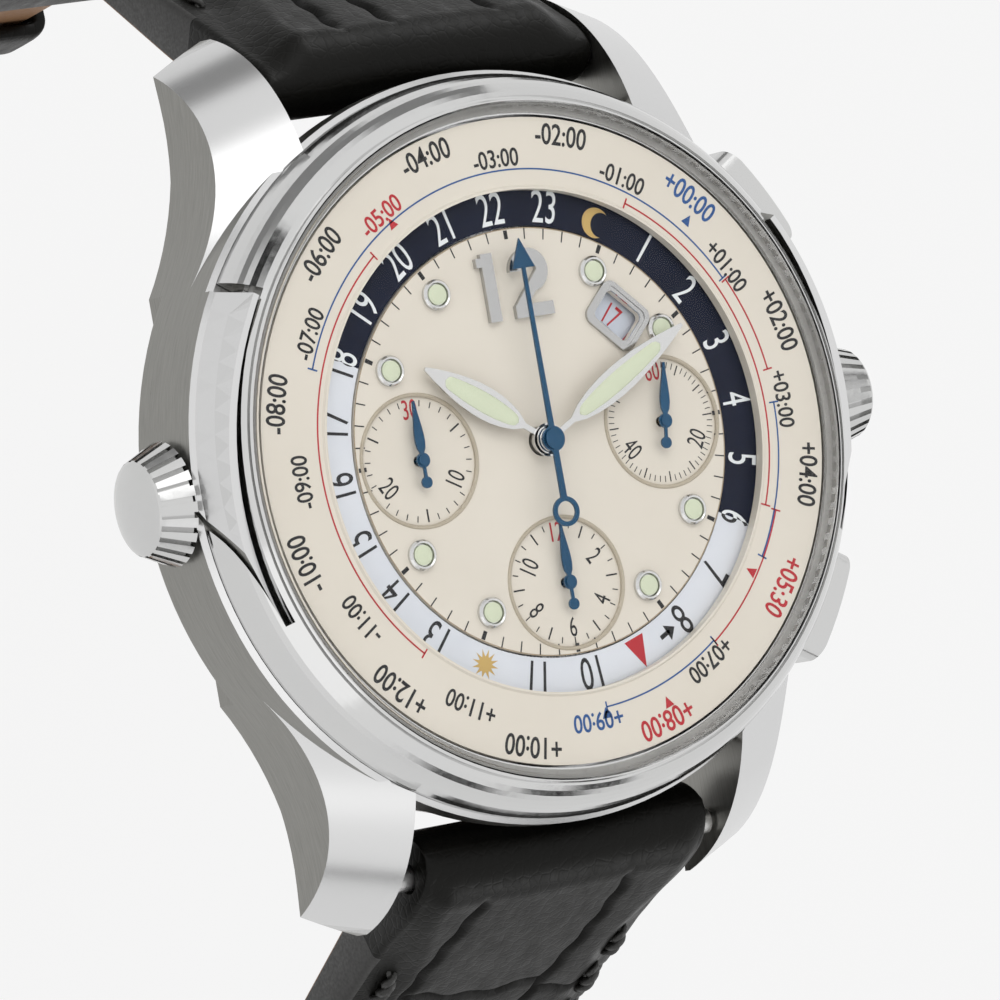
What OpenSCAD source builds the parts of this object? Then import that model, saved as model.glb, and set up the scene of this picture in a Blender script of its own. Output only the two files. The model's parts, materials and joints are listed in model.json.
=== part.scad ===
// World-time chronograph wristwatch with a leather strap.
// Millimetres. The dial faces +Z, 12 o'clock is +Y, 3 o'clock is +X.
// The origin is the centre of the case back's flat outer face.
// Radii follow one another from the dial outwards, and heights from the case back upwards.

/* [Case] */
// Thickness of the band round the movement's bore
band_wall = 3.2; // [3:0.1:3.6]
// Depth of the band's upper ledge below the dial
band_ledge_drop = 2.1; // [1.9:0.1:2.3]
// Height of the band's lower edge, on the case back
band_bottom_z = 1.0; // [0.8:0.1:1.2]
// Gap between the lugs
lug_gap = 22; // [21:0.5:23]
// Width of a lug
lug_w = 3.9; // [3.4:0.1:4.2]
// Reach of the lugs beyond the band
lug_reach = 4.3; // [3.9:0.1:5]
// Radius of the hollow sweep from band to lug
lug_sweep_r = 20; // [14:1:30]
// Radius of the lug's downward curve
lug_drop_r = 13; // [12.5:0.1:14]
// Fall of a lug's top towards its outer side
lug_fall = 25; // [20:1:32]
// Turn of that fall towards the lug's tip
lug_turn = 16; // [0:1:20]
// Rounding of the lug's outer corner
lug_corner_r = 1.4; // [1:0.1:2]
// Depth of a lug's highest edge below the dial
lug_top_drop = 1.5; // [1.3:0.1:1.8]
// Angle above the crown line where a shoulder starts
shoulder_from = 31.5; // [29:0.5:33]
// Height of a shoulder's inner edge above the dial
shoulder_rise = 1.25; // [1:0.05:1.3]
// Fall of a shoulder towards its pointed end
shoulder_fall = 3.5; // [2:0.5:5]
// Depth of the recess that takes the strap's end
strap_recess = 1.4; // [1.3:0.1:1.6]

/* [Bezel and crystal] */
// Height of the bezel's bright rim above the dial
rim_rise = 1.4; // [1.2:0.05:1.6]
// Width of that rim with its gasket
rim_wall = 0.4; // [0.35:0.05:0.6]
// Ledge of the band left outside the bezel
bezel_ledge = 0.3; // [0.2:0.05:0.5]
// Swell of the bezel's slope
bezel_swell = 0.22; // [0.05:0.01:0.4]
// Width of the crystal's seat
crystal_seat = 0.65; // [0.5:0.05:0.7]
// Height of the crystal's top above the dial
crystal_rise = 3.0; // [2.9:0.1:3.4]
// Dome of the crystal's outer face
crystal_dome = 1.4; // [1.2:0.1:1.6]
// Dome of the crystal's inner face
crystal_inner_dome = 1.2; // [1.0:0.1:1.4]
// Thickness of the crystal at its centre
crystal_t = 1.05; // [0.9:0.05:1.1]

/* [Case back] */
// Step from the band in to the case back's flange
back_step = 1.0; // [0.8:0.1:1.3]
// Wall between the bore and the back crystal
spigot_wall = 3.3; // [3.1:0.1:3.8]
// Thickness of the back crystal
back_crystal_t = 1.25; // [1.1:0.05:1.3]
// Width of the ledge that the back crystal rests on
back_ledge = 0.7; // [0.5:0.1:0.9]
// Height of the case back's spigot
back_spigot_z = 2.2; // [2:0.1:2.4]
// Screws round the case back
back_screw_count = 6; // [4:1:8]
// Distance of those screws outside the bore
back_screw_out = 1.05; // [1:0.05:1.15]
// Head diameter of a case back screw
back_screw_head_d = 1.5; // [1.2:0.1:1.7]

/* [Crowns and pushers] */
// Depth of the crown stems below the dial
stem_drop = 5.0; // [4.8:0.1:5.1]
// Diameter of a stem
stem_d = 1.2; // [1:0.1:1.4]
// Diameter of the zone crown at 9 o'clock
zone_crown_d = 7.1; // [6.6:0.1:7.4]
// Length of the zone crown
zone_crown_l = 2.3; // [2.2:0.1:2.6]
// Diameter of the winding crown at 3 o'clock
winding_crown_d = 6.8; // [6.2:0.1:7.2]
// Length of the winding crown
winding_crown_l = 3.4; // [3:0.1:3.7]
// Flutes round a crown
crown_flutes = 24; // [18:2:30]
// Depth of a flute
flute_depth = 0.4; // [0.3:0.05:0.5]
// Gap between a crown and the band
crown_gap = 0.15; // [0.1:0.05:0.3]
// Angle of the pushers above and below 3 o'clock
pusher_angle = 31.5; // [30:0.5:34]
// Width of a pusher's cap
pusher_w = 6.7; // [6:0.1:7]
// Height of a pusher's cap
pusher_h = 3.6; // [3.2:0.1:3.8]
// How far a pusher stands proud of the band
pusher_proud = 2.0; // [1.8:0.1:2.2]
// Travel of a pusher
pusher_travel = 0.8; // [0.6:0.1:0.9]

/* [Dial] */
// Diameter of the dial
dial_d = 24.3; // [24:0.1:24.6]
// Thickness of the dial
dial_t = 0.4; // [0.3:0.05:0.5]
// Diameter of a small dial's rim
small_dial_d = 7.68; // [7.4:0.02:7.8]
// Margin between a small dial's rim and the dial's edge
small_dial_margin = 0.22; // [0.15:0.01:0.3]
// Depth of a small dial's recess
small_dial_depth = 0.12; // [0.08:0.01:0.2]
// Distance of the lume dots in from the dial's edge
lume_inset = 1.72; // [1.6:0.01:1.9]
// Diameter of a lume dot's polished cup
lume_cup_d = 1.75; // [1.5:0.05:1.9]
// Height of the applied twelve
twelve_h = 3.9; // [3.6:0.1:4]
// Stroke of the applied twelve
twelve_stroke = 0.75; // [0.6:0.05:0.8]
// Distance of the twelve's middle in from the dial's edge
twelve_inset = 3.2; // [3.1:0.05:3.3]
// Distance of the date window in from the dial's edge
date_inset = 3.21; // [3.1:0.01:3.3]
// Size of the date frame along the dial's radius
date_frame_l = 2.9; // [2.7:0.1:3]
// Clearance between the date frame and the lume cups beside it
date_cup_gap = 0.02; // [0.01:0.01:0.2]
// Width of the date frame's bevel
date_bevel = 0.5; // [0.4:0.05:0.6]

/* [Outer rings] */
// Width of the day and night ring
day_ring_w = 2.65; // [2.5:0.05:2.8]
// Lap of the zone ring over the day and night ring
ring_lap = 0.65; // [0.5:0.05:0.8]
// Width of the zone ring
zone_ring_w = 4.1; // [4:0.05:4.3]
// Thickness of the zone ring
zone_ring_t = 0.55; // [0.45:0.05:0.6]
// Teeth inside the zone ring's skirt
zone_teeth = 139; // [139:1:139]

/* [Hands] */
// Distance of the hour hand's tip in from the dial's edge
hour_hand_inset = 3.4; // [3.2:0.05:3.7]
// Distance of the minute hand's tip in from the dial's edge
minute_hand_inset = 0.95; // [0.7:0.05:1.2]
// Distance of the chronograph hand's tip in from the dial's edge
chrono_hand_inset = 0.7; // [0.5:0.05:1.1]
// Counterweight distance of that hand
chrono_tail_l = 4.15; // [3.8:0.05:4.4]
// Distance of a small hand's tip in from its dial's rim
small_hand_inset = 0.49; // [0.4:0.01:0.8]
// Thickness of a hand
hand_t = 0.14; // [0.1:0.01:0.16]
// Hour hand's angle clockwise from 12
hour_angle = 305; // [300:1:310]
// Minute hand's angle clockwise from 12
minute_angle = 62; // [60:1:64]
// Small seconds hand's angle clockwise from 12
seconds_angle = 9; // [0:1:30]

/* [Movement] */
// Wall of the holder ring between movement and day and night ring
holder_lip = 1.4; // [1.3:0.05:1.5]
// Gap between the back crystal and the rotor
rotor_gap = 0.5; // [0.3:0.1:0.6]
// Thickness of the rotor's heavy rim
rotor_t = 1.15; // [1:0.05:1.3]
// Thickness of the rotor's plate
rotor_plate_t = 0.35; // [0.3:0.05:0.4]
// Step from the movement's edge in to the rotor's
rotor_inset = 0.3; // [0.2:0.1:0.7]
// Width of the rotor's heavy rim
rotor_rim = 2.4; // [1.8:0.1:3]
// Gap between the rotor and the bridges
bridge_gap = 0.2; // [0.15:0.05:0.4]
// Thickness of a bridge
bridge_t = 0.7; // [0.5:0.05:0.75]
// Room for the going train between bridges and mainplate
train_room = 1.5; // [1.45:0.05:1.6]
// Thickness of the mainplate
mainplate_t = 2.15; // [2:0.05:2.3]
// Thickness of the chronograph module
module_t = 1.85; // [1.7:0.05:2]
// Room for the date disc between module and dial
date_room = 0.7; // [0.65:0.05:0.8]
// Distance from centre to third wheel, as a share of the small dials' distance
third_share = 0.5785; // [0.56:0.005:0.6]
// Distance from third to fourth wheel, as a share of the same distance
fourth_share = 0.5043; // [0.49:0.005:0.52]
// Distance from fourth to escape wheel, as a share of the same distance
escape_share = 0.4339; // [0.42:0.005:0.45]
// Distance from centre to barrel, as a share of the same distance
barrel_share = 0.7787; // [0.76:0.005:0.79]
// Thickness of a train wheel
wheel_t = 0.18; // [0.14:0.01:0.2]
// Diameter of the balance wheel
balance_d = 7.2; // [6.8:0.1:7.4]

/* [Strap] */
// Narrowing of the strap from the lugs to the buckle
strap_taper = 3.4; // [3:0.2:4]
// Thickness of the strap's padded end at the lugs
strap_end_t = 5.2; // [4.8:0.1:5.3]
// Gap between the strap's end and the case
strap_end_gap = 0.3; // [0.25:0.05:0.4]
// Thickness of the strap along its run
strap_t = 3.0; // [2.6:0.1:3.4]
// Length of the buckle half
buckle_half_l = 78; // [74:1:82]
// Length of the hole half
hole_half_l = 115; // [110:1:118]
// Depth of the spring bars below the dial
spring_bar_drop = 7.0; // [6.8:0.1:7.2]
// Diameter of a spring bar
spring_bar_d = 1.5; // [1.3:0.1:1.8]
// Holes in the strap
strap_holes = 7; // [5:1:7]
// Spacing of the strap's holes
strap_hole_pitch = 6.5; // [6:0.5:6.5]
// Diameter of a strap hole
strap_hole_d = 2; // [1.6:0.1:2.2]

/* [Buckle] */
// Length of the buckle frame from its bar
buckle_l = 12; // [11:0.5:13]
// Thickness of the buckle frame's rod
buckle_rod = 2.0; // [1.6:0.1:2.2]
// Diameter of the buckle's bar
buckle_bar_d = 1.3; // [1.1:0.1:1.5]
// Width of the tang
tang_w = 1.7; // [1.5:0.1:1.8]
// Width of a keeper loop
keeper_w = 5; // [4:0.5:6]
// Leather thickness of a keeper loop
keeper_t = 1.1; // [0.9:0.1:1.3]
// Distance of the fixed keeper from the buckle bar
fixed_keeper_s = 9; // [8:0.5:10]
// Distance of the sliding keeper from the buckle bar
sliding_keeper_s = 23; // [21:0.5:24]

/* [Hidden] */
$fn = 96;
// Running clearance of a shaft in its hole
run = 0.05;
// Clearance between stacked pieces
gap = 0.1;
// Small overshoot of a cut
eps = 0.02;

// Heights, from the case back upwards
rotor_z = back_crystal_t + rotor_gap;
rotor_top_z = rotor_z + rotor_t;
bridge_z = rotor_top_z + bridge_gap;
bridge_top_z = bridge_z + bridge_t;
mainplate_z = bridge_top_z + train_room;
module_z = mainplate_z + mainplate_t;
module_top_z = module_z + module_t;
dial_bottom_z = module_top_z + date_room;
dial_z = dial_bottom_z + dial_t;
date_disc_t = 0.22;
date_disc_z = dial_bottom_z - 2 * gap - date_disc_t;
band_top_z = dial_z - band_ledge_drop;
collar_top_z = dial_z - 0.8;
holder_top_z = collar_top_z - 0.6;
zone_skirt_z = collar_top_z + gap;
zone_ring_z = dial_z + 0.6 - zone_ring_t;
day_ring_t = 0.35;
day_ring_z = dial_z - gap - day_ring_t;
rim_z = dial_z + rim_rise;
crystal_top_z = dial_z + crystal_rise;
crystal_edge_top = crystal_top_z - crystal_dome;
crystal_edge_bottom = crystal_top_z - crystal_t - crystal_inner_dome;
gasket_t = 0.15;
bezel_bottom_z = band_top_z + gap;
bezel_seat_z = crystal_edge_bottom - gasket_t;
stem_z = dial_z - stem_drop;
spring_bar_z = dial_z - spring_bar_drop;
strap_recess_z = spring_bar_z + 3.0;
small_hand_z = dial_z + 0.35;
hour_hand_z = dial_z + 0.66;
minute_hand_z = hour_hand_z + 2 * hand_t;
chrono_hand_z = minute_hand_z + 2 * hand_t;
hub_step = 0.06;
chrono_hub_t = 0.3;

// Radii, from the dial outwards
dial_r = dial_d / 2;
small_dial_r = small_dial_d / 2;
small_dial_pitch_r = dial_r - small_dial_margin - small_dial_r;
lume_pitch_r = dial_r - lume_inset;
twelve_y = dial_r - twelve_inset;
date_r = dial_r - date_inset;
// Rounded down to twentieths
date_frame_w = floor(40 * (lume_pitch_r * sin(15) - lume_cup_d / 2 - date_cup_gap)) / 20;
day_ring_in_r = dial_r + gap;
day_ring_r = day_ring_in_r + day_ring_w;
zone_ring_in_r = day_ring_r - ring_lap;
zone_ring_r = zone_ring_in_r + zone_ring_w;
movement_r = day_ring_r - holder_lip;
rotor_r = movement_r - rotor_inset;
bore_r = zone_ring_r - run;
collar_in_r = zone_ring_r + 0.25;
collar_w = 1.5;
collar_out_r = collar_in_r + collar_w;
band_r = bore_r + band_wall;
crystal_r = zone_ring_r + crystal_seat;
bezel_bore_r = zone_ring_r + 0.15;
rim_r = crystal_r + rim_wall;
bezel_notch_r = rim_r + 0.4;
bezel_r = band_r - bezel_ledge;
back_r = band_r - back_step;
back_crystal_r = bore_r - spigot_wall;
back_screw_pitch_r = bore_r + back_screw_out;
strap_recess_r = band_r - strap_recess;
spring_bar_y = strap_recess_r + strap_end_gap + strap_end_t / 2;

// Lugs
lug_tip_y = band_r + lug_reach;
lug_in_x = lug_gap / 2;
lug_out_x = lug_in_x + lug_w;
lug_top_z = dial_z - lug_top_drop;
lug_curve_y = lug_tip_y - lug_drop_r;
lug_curve_z = lug_top_z - lug_drop_r / cos(lug_fall) + 0.35;
sweep_x = lug_out_x + lug_sweep_r;
sweep_y = sqrt(pow(band_r + lug_sweep_r, 2) - pow(sweep_x, 2));
// Where the sweep touches the band
sweep_share = band_r / (band_r + lug_sweep_r);
// Foot of a shoulder's oblique end, on the bezel's groove
shoulder_end_y = 0.394 * bezel_notch_r;

// Crowns and pushers
spring_bar_tip_d = 0.9;
spring_bar_tip_l = 0.9;
stem_r = stem_d / 2;
tube_r = stem_r + run + 0.65;
tube_proud = 0.9;
tube_end_x = band_r + tube_proud;
crown_x = band_r + crown_gap;
crown_bore_l = tube_proud - crown_gap + 0.07;
crown_skirt_share = 0.72;
crown_face_share = 0.78;
pusher_floor_x = band_r - 0.25 - pusher_travel - gap;
pusher_stem_r = 0.8;

// Zone ring's drive
zone_skirt_r = zone_ring_r - 0.15;
zone_pitch_r = zone_skirt_r - 0.825;
idler_module = 2 * zone_pitch_r / zone_teeth;
idler_leaves = 8;
idler_x = (zone_teeth - idler_leaves) * idler_module / 2;
stem_wheel_teeth = 24;
stem_wheel_r = 2.0;
face_wheel_teeth = 15;
face_wheel_r = stem_wheel_r * face_wheel_teeth / stem_wheel_teeth;
stem_wheel_t = 0.4;
tooth_reach = 0.2;
face_wheel_z = stem_z + stem_wheel_r - 0.15;
face_wheel_t = 0.75;
idler_pin_r = 0.3;

// Arbors and tubes
arbor_r = 0.15;
arbor_hole_r = arbor_r + run;
date_disc_in_r = small_dial_pitch_r + arbor_r + gap;
date_disc_out_r = date_disc_in_r + 3.05;
date_angle = 45;
rim_w = 0.18;
chrono_arbor_r = 0.25;
minute_tube_in = chrono_arbor_r + run;
minute_tube_out = minute_tube_in + 0.2;
hour_tube_in = minute_tube_out + run;
hour_tube_out = hour_tube_in + 0.2;
centre_hole_r = hour_tube_out + gap;
dial_foot_r = 0.28;
dial_foot_in = 0.4;
dial_foot_angles = [20, 200];
small_dial_angles = [0, 180, 270];
hour_hand_l = dial_r - hour_hand_inset;
minute_hand_l = dial_r - minute_hand_inset;
chrono_hand_l = dial_r - chrono_hand_inset;
small_hand_l = small_dial_r - small_hand_inset;

// Going train: tooth counts and places
centre_teeth = 64;
third_leaves = 8;
third_teeth = 60;
fourth_leaves = 8;
fourth_teeth = 72;
escape_leaves = 6;
barrel_teeth = 80;
centre_leaves = 10;
escape_teeth = 20;
fourth_x = small_dial_pitch_r;
centre_third = third_share * fourth_x;
third_fourth = fourth_share * fourth_x;
fourth_escape = escape_share * fourth_x;
centre_barrel = barrel_share * fourth_x;
centre_module = 2 * centre_third / (centre_teeth + third_leaves);
third_module = 2 * third_fourth / (third_teeth + fourth_leaves);
fourth_module = 2 * fourth_escape / (fourth_teeth + escape_leaves);
barrel_module = 2 * centre_barrel / (barrel_teeth + centre_leaves);
third_x = (pow(centre_third, 2) - pow(third_fourth, 2) + pow(fourth_x, 2)) / (2 * fourth_x);
third_y = -sqrt(pow(centre_third, 2) - pow(third_x, 2));
third_dir = atan2(third_y, third_x);
third_fourth_dir = atan2(-third_y, fourth_x - third_x);
escape_dir = -75;
escape_x = fourth_x + fourth_escape * cos(escape_dir);
escape_y = fourth_escape * sin(escape_dir);
escape_r = 2.1;
barrel_dir = 110;
barrel_x = centre_barrel * cos(barrel_dir);
barrel_y = centre_barrel * sin(barrel_dir);
balance_dir = -60.1;
balance_reach = movement_r - balance_d / 2 - 0.67;
balance_x = balance_reach * cos(balance_dir);
balance_y = balance_reach * sin(balance_dir);
fourth_wheel_z = bridge_top_z + 0.15;
third_wheel_z = fourth_wheel_z + 0.36;
escape_wheel_z = third_wheel_z + 0.34;
centre_wheel_z = escape_wheel_z + 0.24;
balance_wheel_z = fourth_wheel_z + 0.02;
barrel_z = bridge_top_z + 0.12;
barrel_drum_t = 0.85;
barrel_arbor_r = 0.5;
pallet_share = 0.45;
pallet_x = escape_x + (balance_x - escape_x) * pallet_share;
pallet_y = escape_y + (balance_y - escape_y) * pallet_share;
pallet_dir = atan2(balance_y - escape_y, balance_x - escape_x);
jewel_r = 0.55;

// Bridges
bridge_jewel_gap = 0.025;
bridge_split_y = third_y + jewel_r + bridge_jewel_gap;
bridge_screw_r = movement_r - 1.8;
barrel_screw_angles = [165, 30, 130];
train_screw_angle = -17;
cock_foot_r = movement_r - 2.28;
cock_foot_dir = -93;
cock_foot_x = cock_foot_r * cos(cock_foot_dir);
cock_foot_y = cock_foot_r * sin(cock_foot_dir);
stem_in_x = movement_r - 3.3;
screw_head_r = 0.75;
bridge_screw_places = concat(
    [for (a = barrel_screw_angles) bridge_screw_r * [cos(a), sin(a)]],
    [bridge_screw_r * [cos(train_screw_angle), sin(train_screw_angle)], [cock_foot_x, cock_foot_y]]
);

// Strap run: straight from the bar, one bend, straight to the end
strap_root_dir = -60;
strap_bend_s = 16;
buckle_bend_l = 30;
buckle_end_dir = -96;
hole_bend_l = 40;
hole_end_dir = -98;
strap_side_gap = 0.2;
strap_w = lug_gap - 2 * strap_side_gap;
strap_end_w = strap_w - strap_taper;
keeper_play = 0.2;
tip_room = strap_t + 0.3;

// Gear outline: straight-flanked teeth of module m on n places, first tooth on +X
function gear_points(n, m, root = 1.15, tip = 0.9, wide = 0.29, narrow = 0.13) = [
    for (i = [0 : n - 1], k = [0 : 3])
        let (share = [-wide, -narrow, narrow, wide][k])
        let (a = (i + share) * 360 / n)
        let (r = n * m / 2 + (k == 0 || k == 3 ? -root * m : tip * m))
        [r * cos(a), r * sin(a)]
];

// Points of a shallow arc from radius 0 to r_end, falling by dome at its edge
function dome_points(r_end, z_top, dome, steps) =
    let (radius = (pow(r_end, 2) + pow(dome, 2)) / (2 * dome))
    [for (i = [0 : steps])
        let (r = r_end * i / steps)
        [r, z_top - radius + sqrt(pow(radius, 2) - pow(r, 2))]];

module ring(r_out, r_in, z, h) {
    translate([0, 0, z]) linear_extrude(h) difference() {
        circle(r_out);
        circle(r_in);
    }
}

module disc(r, z, h) {
    translate([0, 0, z]) cylinder(r = r, h = h);
}

module gear(n, m, z, h, turn = 0) {
    translate([0, 0, z]) rotate([0, 0, turn]) linear_extrude(h) polygon(gear_points(n, m));
}

// A wheel with four spokes, cut from a toothed disc
module spoked_wheel(n, m, z, h, turn = 0) {
    r = n * m / 2;
    translate([0, 0, z]) rotate([0, 0, turn]) linear_extrude(h) difference() {
        polygon(gear_points(n, m));
        for (a = [45 : 90 : 315]) rotate([0, 0, a]) intersection() {
            difference() {
                circle(r * 0.78);
                circle(r * 0.24);
            }
            rotate([0, 0, -36]) square(r);
            rotate([0, 0, -54]) square(r);
        }
    }
}

// Four copies of a shape in the +X +Y quarter
module four_quarters() {
    for (x = [0, 1], y = [0, 1]) mirror([x, 0, 0]) mirror([0, y, 0]) children();
}

// A rod along +X from x0 to x1 at the stems' height
module stem_rod(r, x0, x1) {
    translate([x0, 0, stem_z]) rotate([0, 90, 0]) cylinder(r = r, h = x1 - x0);
}

module rounded_bar_2d(w, h, r) {
    square([w - 2 * r, h], center = true);
    square([w, h - 2 * r], center = true);
    for (x = [-1, 1], y = [-1, 1]) translate([x * (w / 2 - r), y * (h / 2 - r)]) circle(r);
}

// Plan of a lug: hollow sweep from the band, straight side, rounded outer corner
module lug_plan_2d() {
    foot_y = lug_in_x / 2;
    difference() {
        union() {
            translate([lug_in_x, foot_y])
                square([sweep_x * sweep_share - lug_in_x, lug_tip_y - lug_corner_r - foot_y]);
            translate([lug_in_x, foot_y])
                square([lug_w - lug_corner_r, lug_tip_y - foot_y]);
            translate([lug_out_x - lug_corner_r, lug_tip_y - lug_corner_r]) circle(lug_corner_r);
        }
        translate([sweep_x, sweep_y]) circle(lug_sweep_r);
        translate([sweep_x - lug_sweep_r, sweep_y]) square([lug_sweep_r, lug_tip_y]);
    }
}

// A lug's top is a round of one radius, whose axis falls outwards and turns towards the tip
module lug() {
    intersection() {
        translate([0, 0, -eps]) linear_extrude(lug_top_z + eps) lug_plan_2d();
        translate([lug_in_x, lug_curve_y, lug_curve_z]) rotate([0, 90 + lug_fall, -lug_turn])
            cylinder(r = lug_drop_r, h = 4 * band_r, center = true);
        rotate([90, 0, 90]) linear_extrude(band_r) polygon([
            [4, band_bottom_z], [band_r - 3.5, band_bottom_z], [lug_tip_y, 0],
            [lug_tip_y, lug_top_z], [4, lug_top_z]
        ]);
    }
}

module pusher_cap_2d(extra) {
    rounded_bar_2d(pusher_w + 2 * extra, pusher_h + 2 * extra, pusher_h * 0.3);
}

// Places a child drawn along +X at a pusher's angle and height
module at_pusher(side) {
    rotate([0, 0, side * pusher_angle]) translate([0, 0, stem_z]) children();
}

// Plan of a shoulder at 9 o'clock: blunt above, drawn to a point below
module shoulder_2d(grow) {
    far = 2 * band_r;
    start = shoulder_from + 4 * grow;
    difference() {
        polygon([
            [0, 0], [-far * cos(start), far * sin(start)], [-far, 1],
            [-band_r - 0.5 - grow / 3, 0.6 - grow / 8],
            [-bezel_notch_r + 1.3 - grow / 3, -shoulder_end_y - grow / 8]
        ]);
        circle(bezel_notch_r + 0.2 - grow / 2);
    }
}

module shoulder() {
    top_z = dial_z + shoulder_rise;
    difference() {
        intersection() {
            rotate_extrude() polygon([
                [bezel_notch_r, band_top_z - 0.4], [band_r, band_top_z - 0.4], [band_r, band_top_z + 0.2],
                [band_r - 0.25, band_top_z + 0.5], [bezel_notch_r + 0.55, top_z], [bezel_notch_r, top_z]
            ]);
            translate([0, 0, band_top_z - 1]) linear_extrude(6) shoulder_2d(0);
        }
        translate([0, 10, top_z + 0.03]) rotate([shoulder_fall, 0, 0])
            translate([-2 * band_r, -60, 0]) cube([4 * band_r, 60, 5]);
    }
}

back_screw_r = 0.45;
back_screw_l = 2.8;
back_screw_head_t = 0.4;

module at_back_screws() {
    for (i = [0 : back_screw_count - 1]) rotate([0, 0, (i + 0.5) * 360 / back_screw_count])
        translate([back_screw_pitch_r, 0, 0]) children();
}

module case_middle() {
    color("silver") difference() {
        union() {
            rotate_extrude() polygon([
                [bore_r, band_bottom_z], [back_r - 0.3, band_bottom_z], [band_r - 0.2, band_bottom_z + 1.2],
                [band_r, band_bottom_z + 1.6], [band_r, band_top_z - 0.3], [band_r - 0.3, band_top_z],
                [collar_out_r, band_top_z], [collar_out_r, collar_top_z],
                [collar_in_r, collar_top_z], [collar_in_r, holder_top_z], [bore_r, holder_top_z]
            ]);
            difference() {
                four_quarters() lug();
                disc(bore_r + 0.5, -1, dial_z + 1.6);
                disc(band_r - 0.2, band_top_z, 4);
                disc(back_r + run, -1, band_bottom_z + 1);
            }
            for (x = [0, 1]) mirror([x, 0, 0]) shoulder();
        }
        for (side = [-1, 1]) intersection() {
            translate([-lug_in_x, side * band_r - 10, -1]) cube([lug_gap, 20, strap_recess_z + 1]);
            ring(band_r + 10, strap_recess_r, -1, strap_recess_z + 1);
        }
        for (side = [-1, 1]) translate([0, side * spring_bar_y, spring_bar_z])
            cross_rod(spring_bar_tip_d + 2 * run, lug_gap + 2 * spring_bar_tip_l + 0.4);
        for (side = [0, 180]) rotate([0, 0, side]) stem_rod(tube_r, bore_r - 1, band_r + 1);
        for (side = [-1, 1]) at_pusher(side) {
            translate([pusher_floor_x, 0, 0]) rotate([90, 0, 90]) linear_extrude(4) pusher_cap_2d(gap);
            rotate([0, 90, 0]) cylinder(r = pusher_stem_r + run, h = band_r);
        }
        at_back_screws() cylinder(r = back_screw_r, h = back_screw_l + 0.2);
    }
}

module bezel() {
    edge_z = bezel_bottom_z + 0.35;
    slope = [for (i = [0 : 8])
        let (t = i / 8)
        let (swell = bezel_swell * sin(180 * t))
        [bezel_r + (rim_r + 0.15 - bezel_r) * t + swell, edge_z + (rim_z - 0.12 - edge_z) * t + swell]];
    color("gainsboro") difference() {
        rotate_extrude() polygon(concat(
            [[collar_out_r + run, bezel_bottom_z], [bezel_r, bezel_bottom_z]],
            slope,
            [[rim_r + 0.15, rim_z - 0.45], [rim_r, rim_z - 0.45]],
            [[rim_r, rim_z - 0.08], [rim_r - 0.08, rim_z]],
            [[crystal_r + gasket_t + 0.1, rim_z], [crystal_r + gasket_t, rim_z - 0.1]],
            [[crystal_r + gasket_t, bezel_seat_z], [bezel_bore_r, bezel_seat_z]],
            [[bezel_bore_r, collar_top_z + run], [collar_out_r + run, collar_top_z + run]]
        ));
        for (x = [0, 1]) mirror([x, 0, 0]) translate([0, 0, bezel_bottom_z - 1])
            linear_extrude(6) shoulder_2d(0.4);
    }
}

module crystal() {
    outer = dome_points(crystal_r, crystal_top_z, crystal_dome, 12);
    inner = dome_points(crystal_r, crystal_edge_bottom + crystal_inner_dome, crystal_inner_dome, 12);
    color("lightcyan", 0.35) rotate_extrude() polygon(concat(outer, [for (i = [12 : -1 : 0]) inner[i]]));
}

module crystal_gasket() {
    color("dimgray") rotate_extrude() polygon([
        [bezel_bore_r + 0.1, bezel_seat_z], [crystal_r + gasket_t, bezel_seat_z],
        [crystal_r + gasket_t, rim_z - 0.15], [crystal_r, rim_z - 0.15],
        [crystal_r, crystal_edge_bottom], [bezel_bore_r + 0.1, crystal_edge_bottom]
    ]);
}

module caseback_ring() {
    spigot_r = bore_r - run;
    color("silver") difference() {
        rotate_extrude() polygon([
            [back_crystal_r + run, 0], [back_r - 1.2, 0], [back_r, 0.7],
            [back_r, band_bottom_z], [spigot_r, band_bottom_z], [spigot_r, back_spigot_z],
            [back_crystal_r - back_ledge, back_spigot_z], [back_crystal_r - back_ledge, back_crystal_t],
            [back_crystal_r + run, back_crystal_t]
        ]);
        at_back_screws() translate([0, 0, -eps]) {
            cylinder(d = back_screw_head_d + 2 * run, h = 0.45 + eps);
            cylinder(r = back_screw_r, h = 3);
        }
    }
}

module caseback_crystal() {
    color("lightcyan", 0.35) disc(back_crystal_r, 0, back_crystal_t - run);
}

module caseback_screws() {
    color("gainsboro") at_back_screws() difference() {
        union() {
            translate([0, 0, 0.05]) cylinder(d = back_screw_head_d, h = back_screw_head_t);
            cylinder(r = back_screw_r - run, h = back_screw_l);
        }
        translate([0, 0, 0.05]) cube([back_screw_head_d * 2, 0.22, 0.4], center = true);
    }
}

module caseback_gasket() {
    color("dimgray") ring(bore_r - run, bore_r - 0.4, back_spigot_z + run, 0.35);
}

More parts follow.
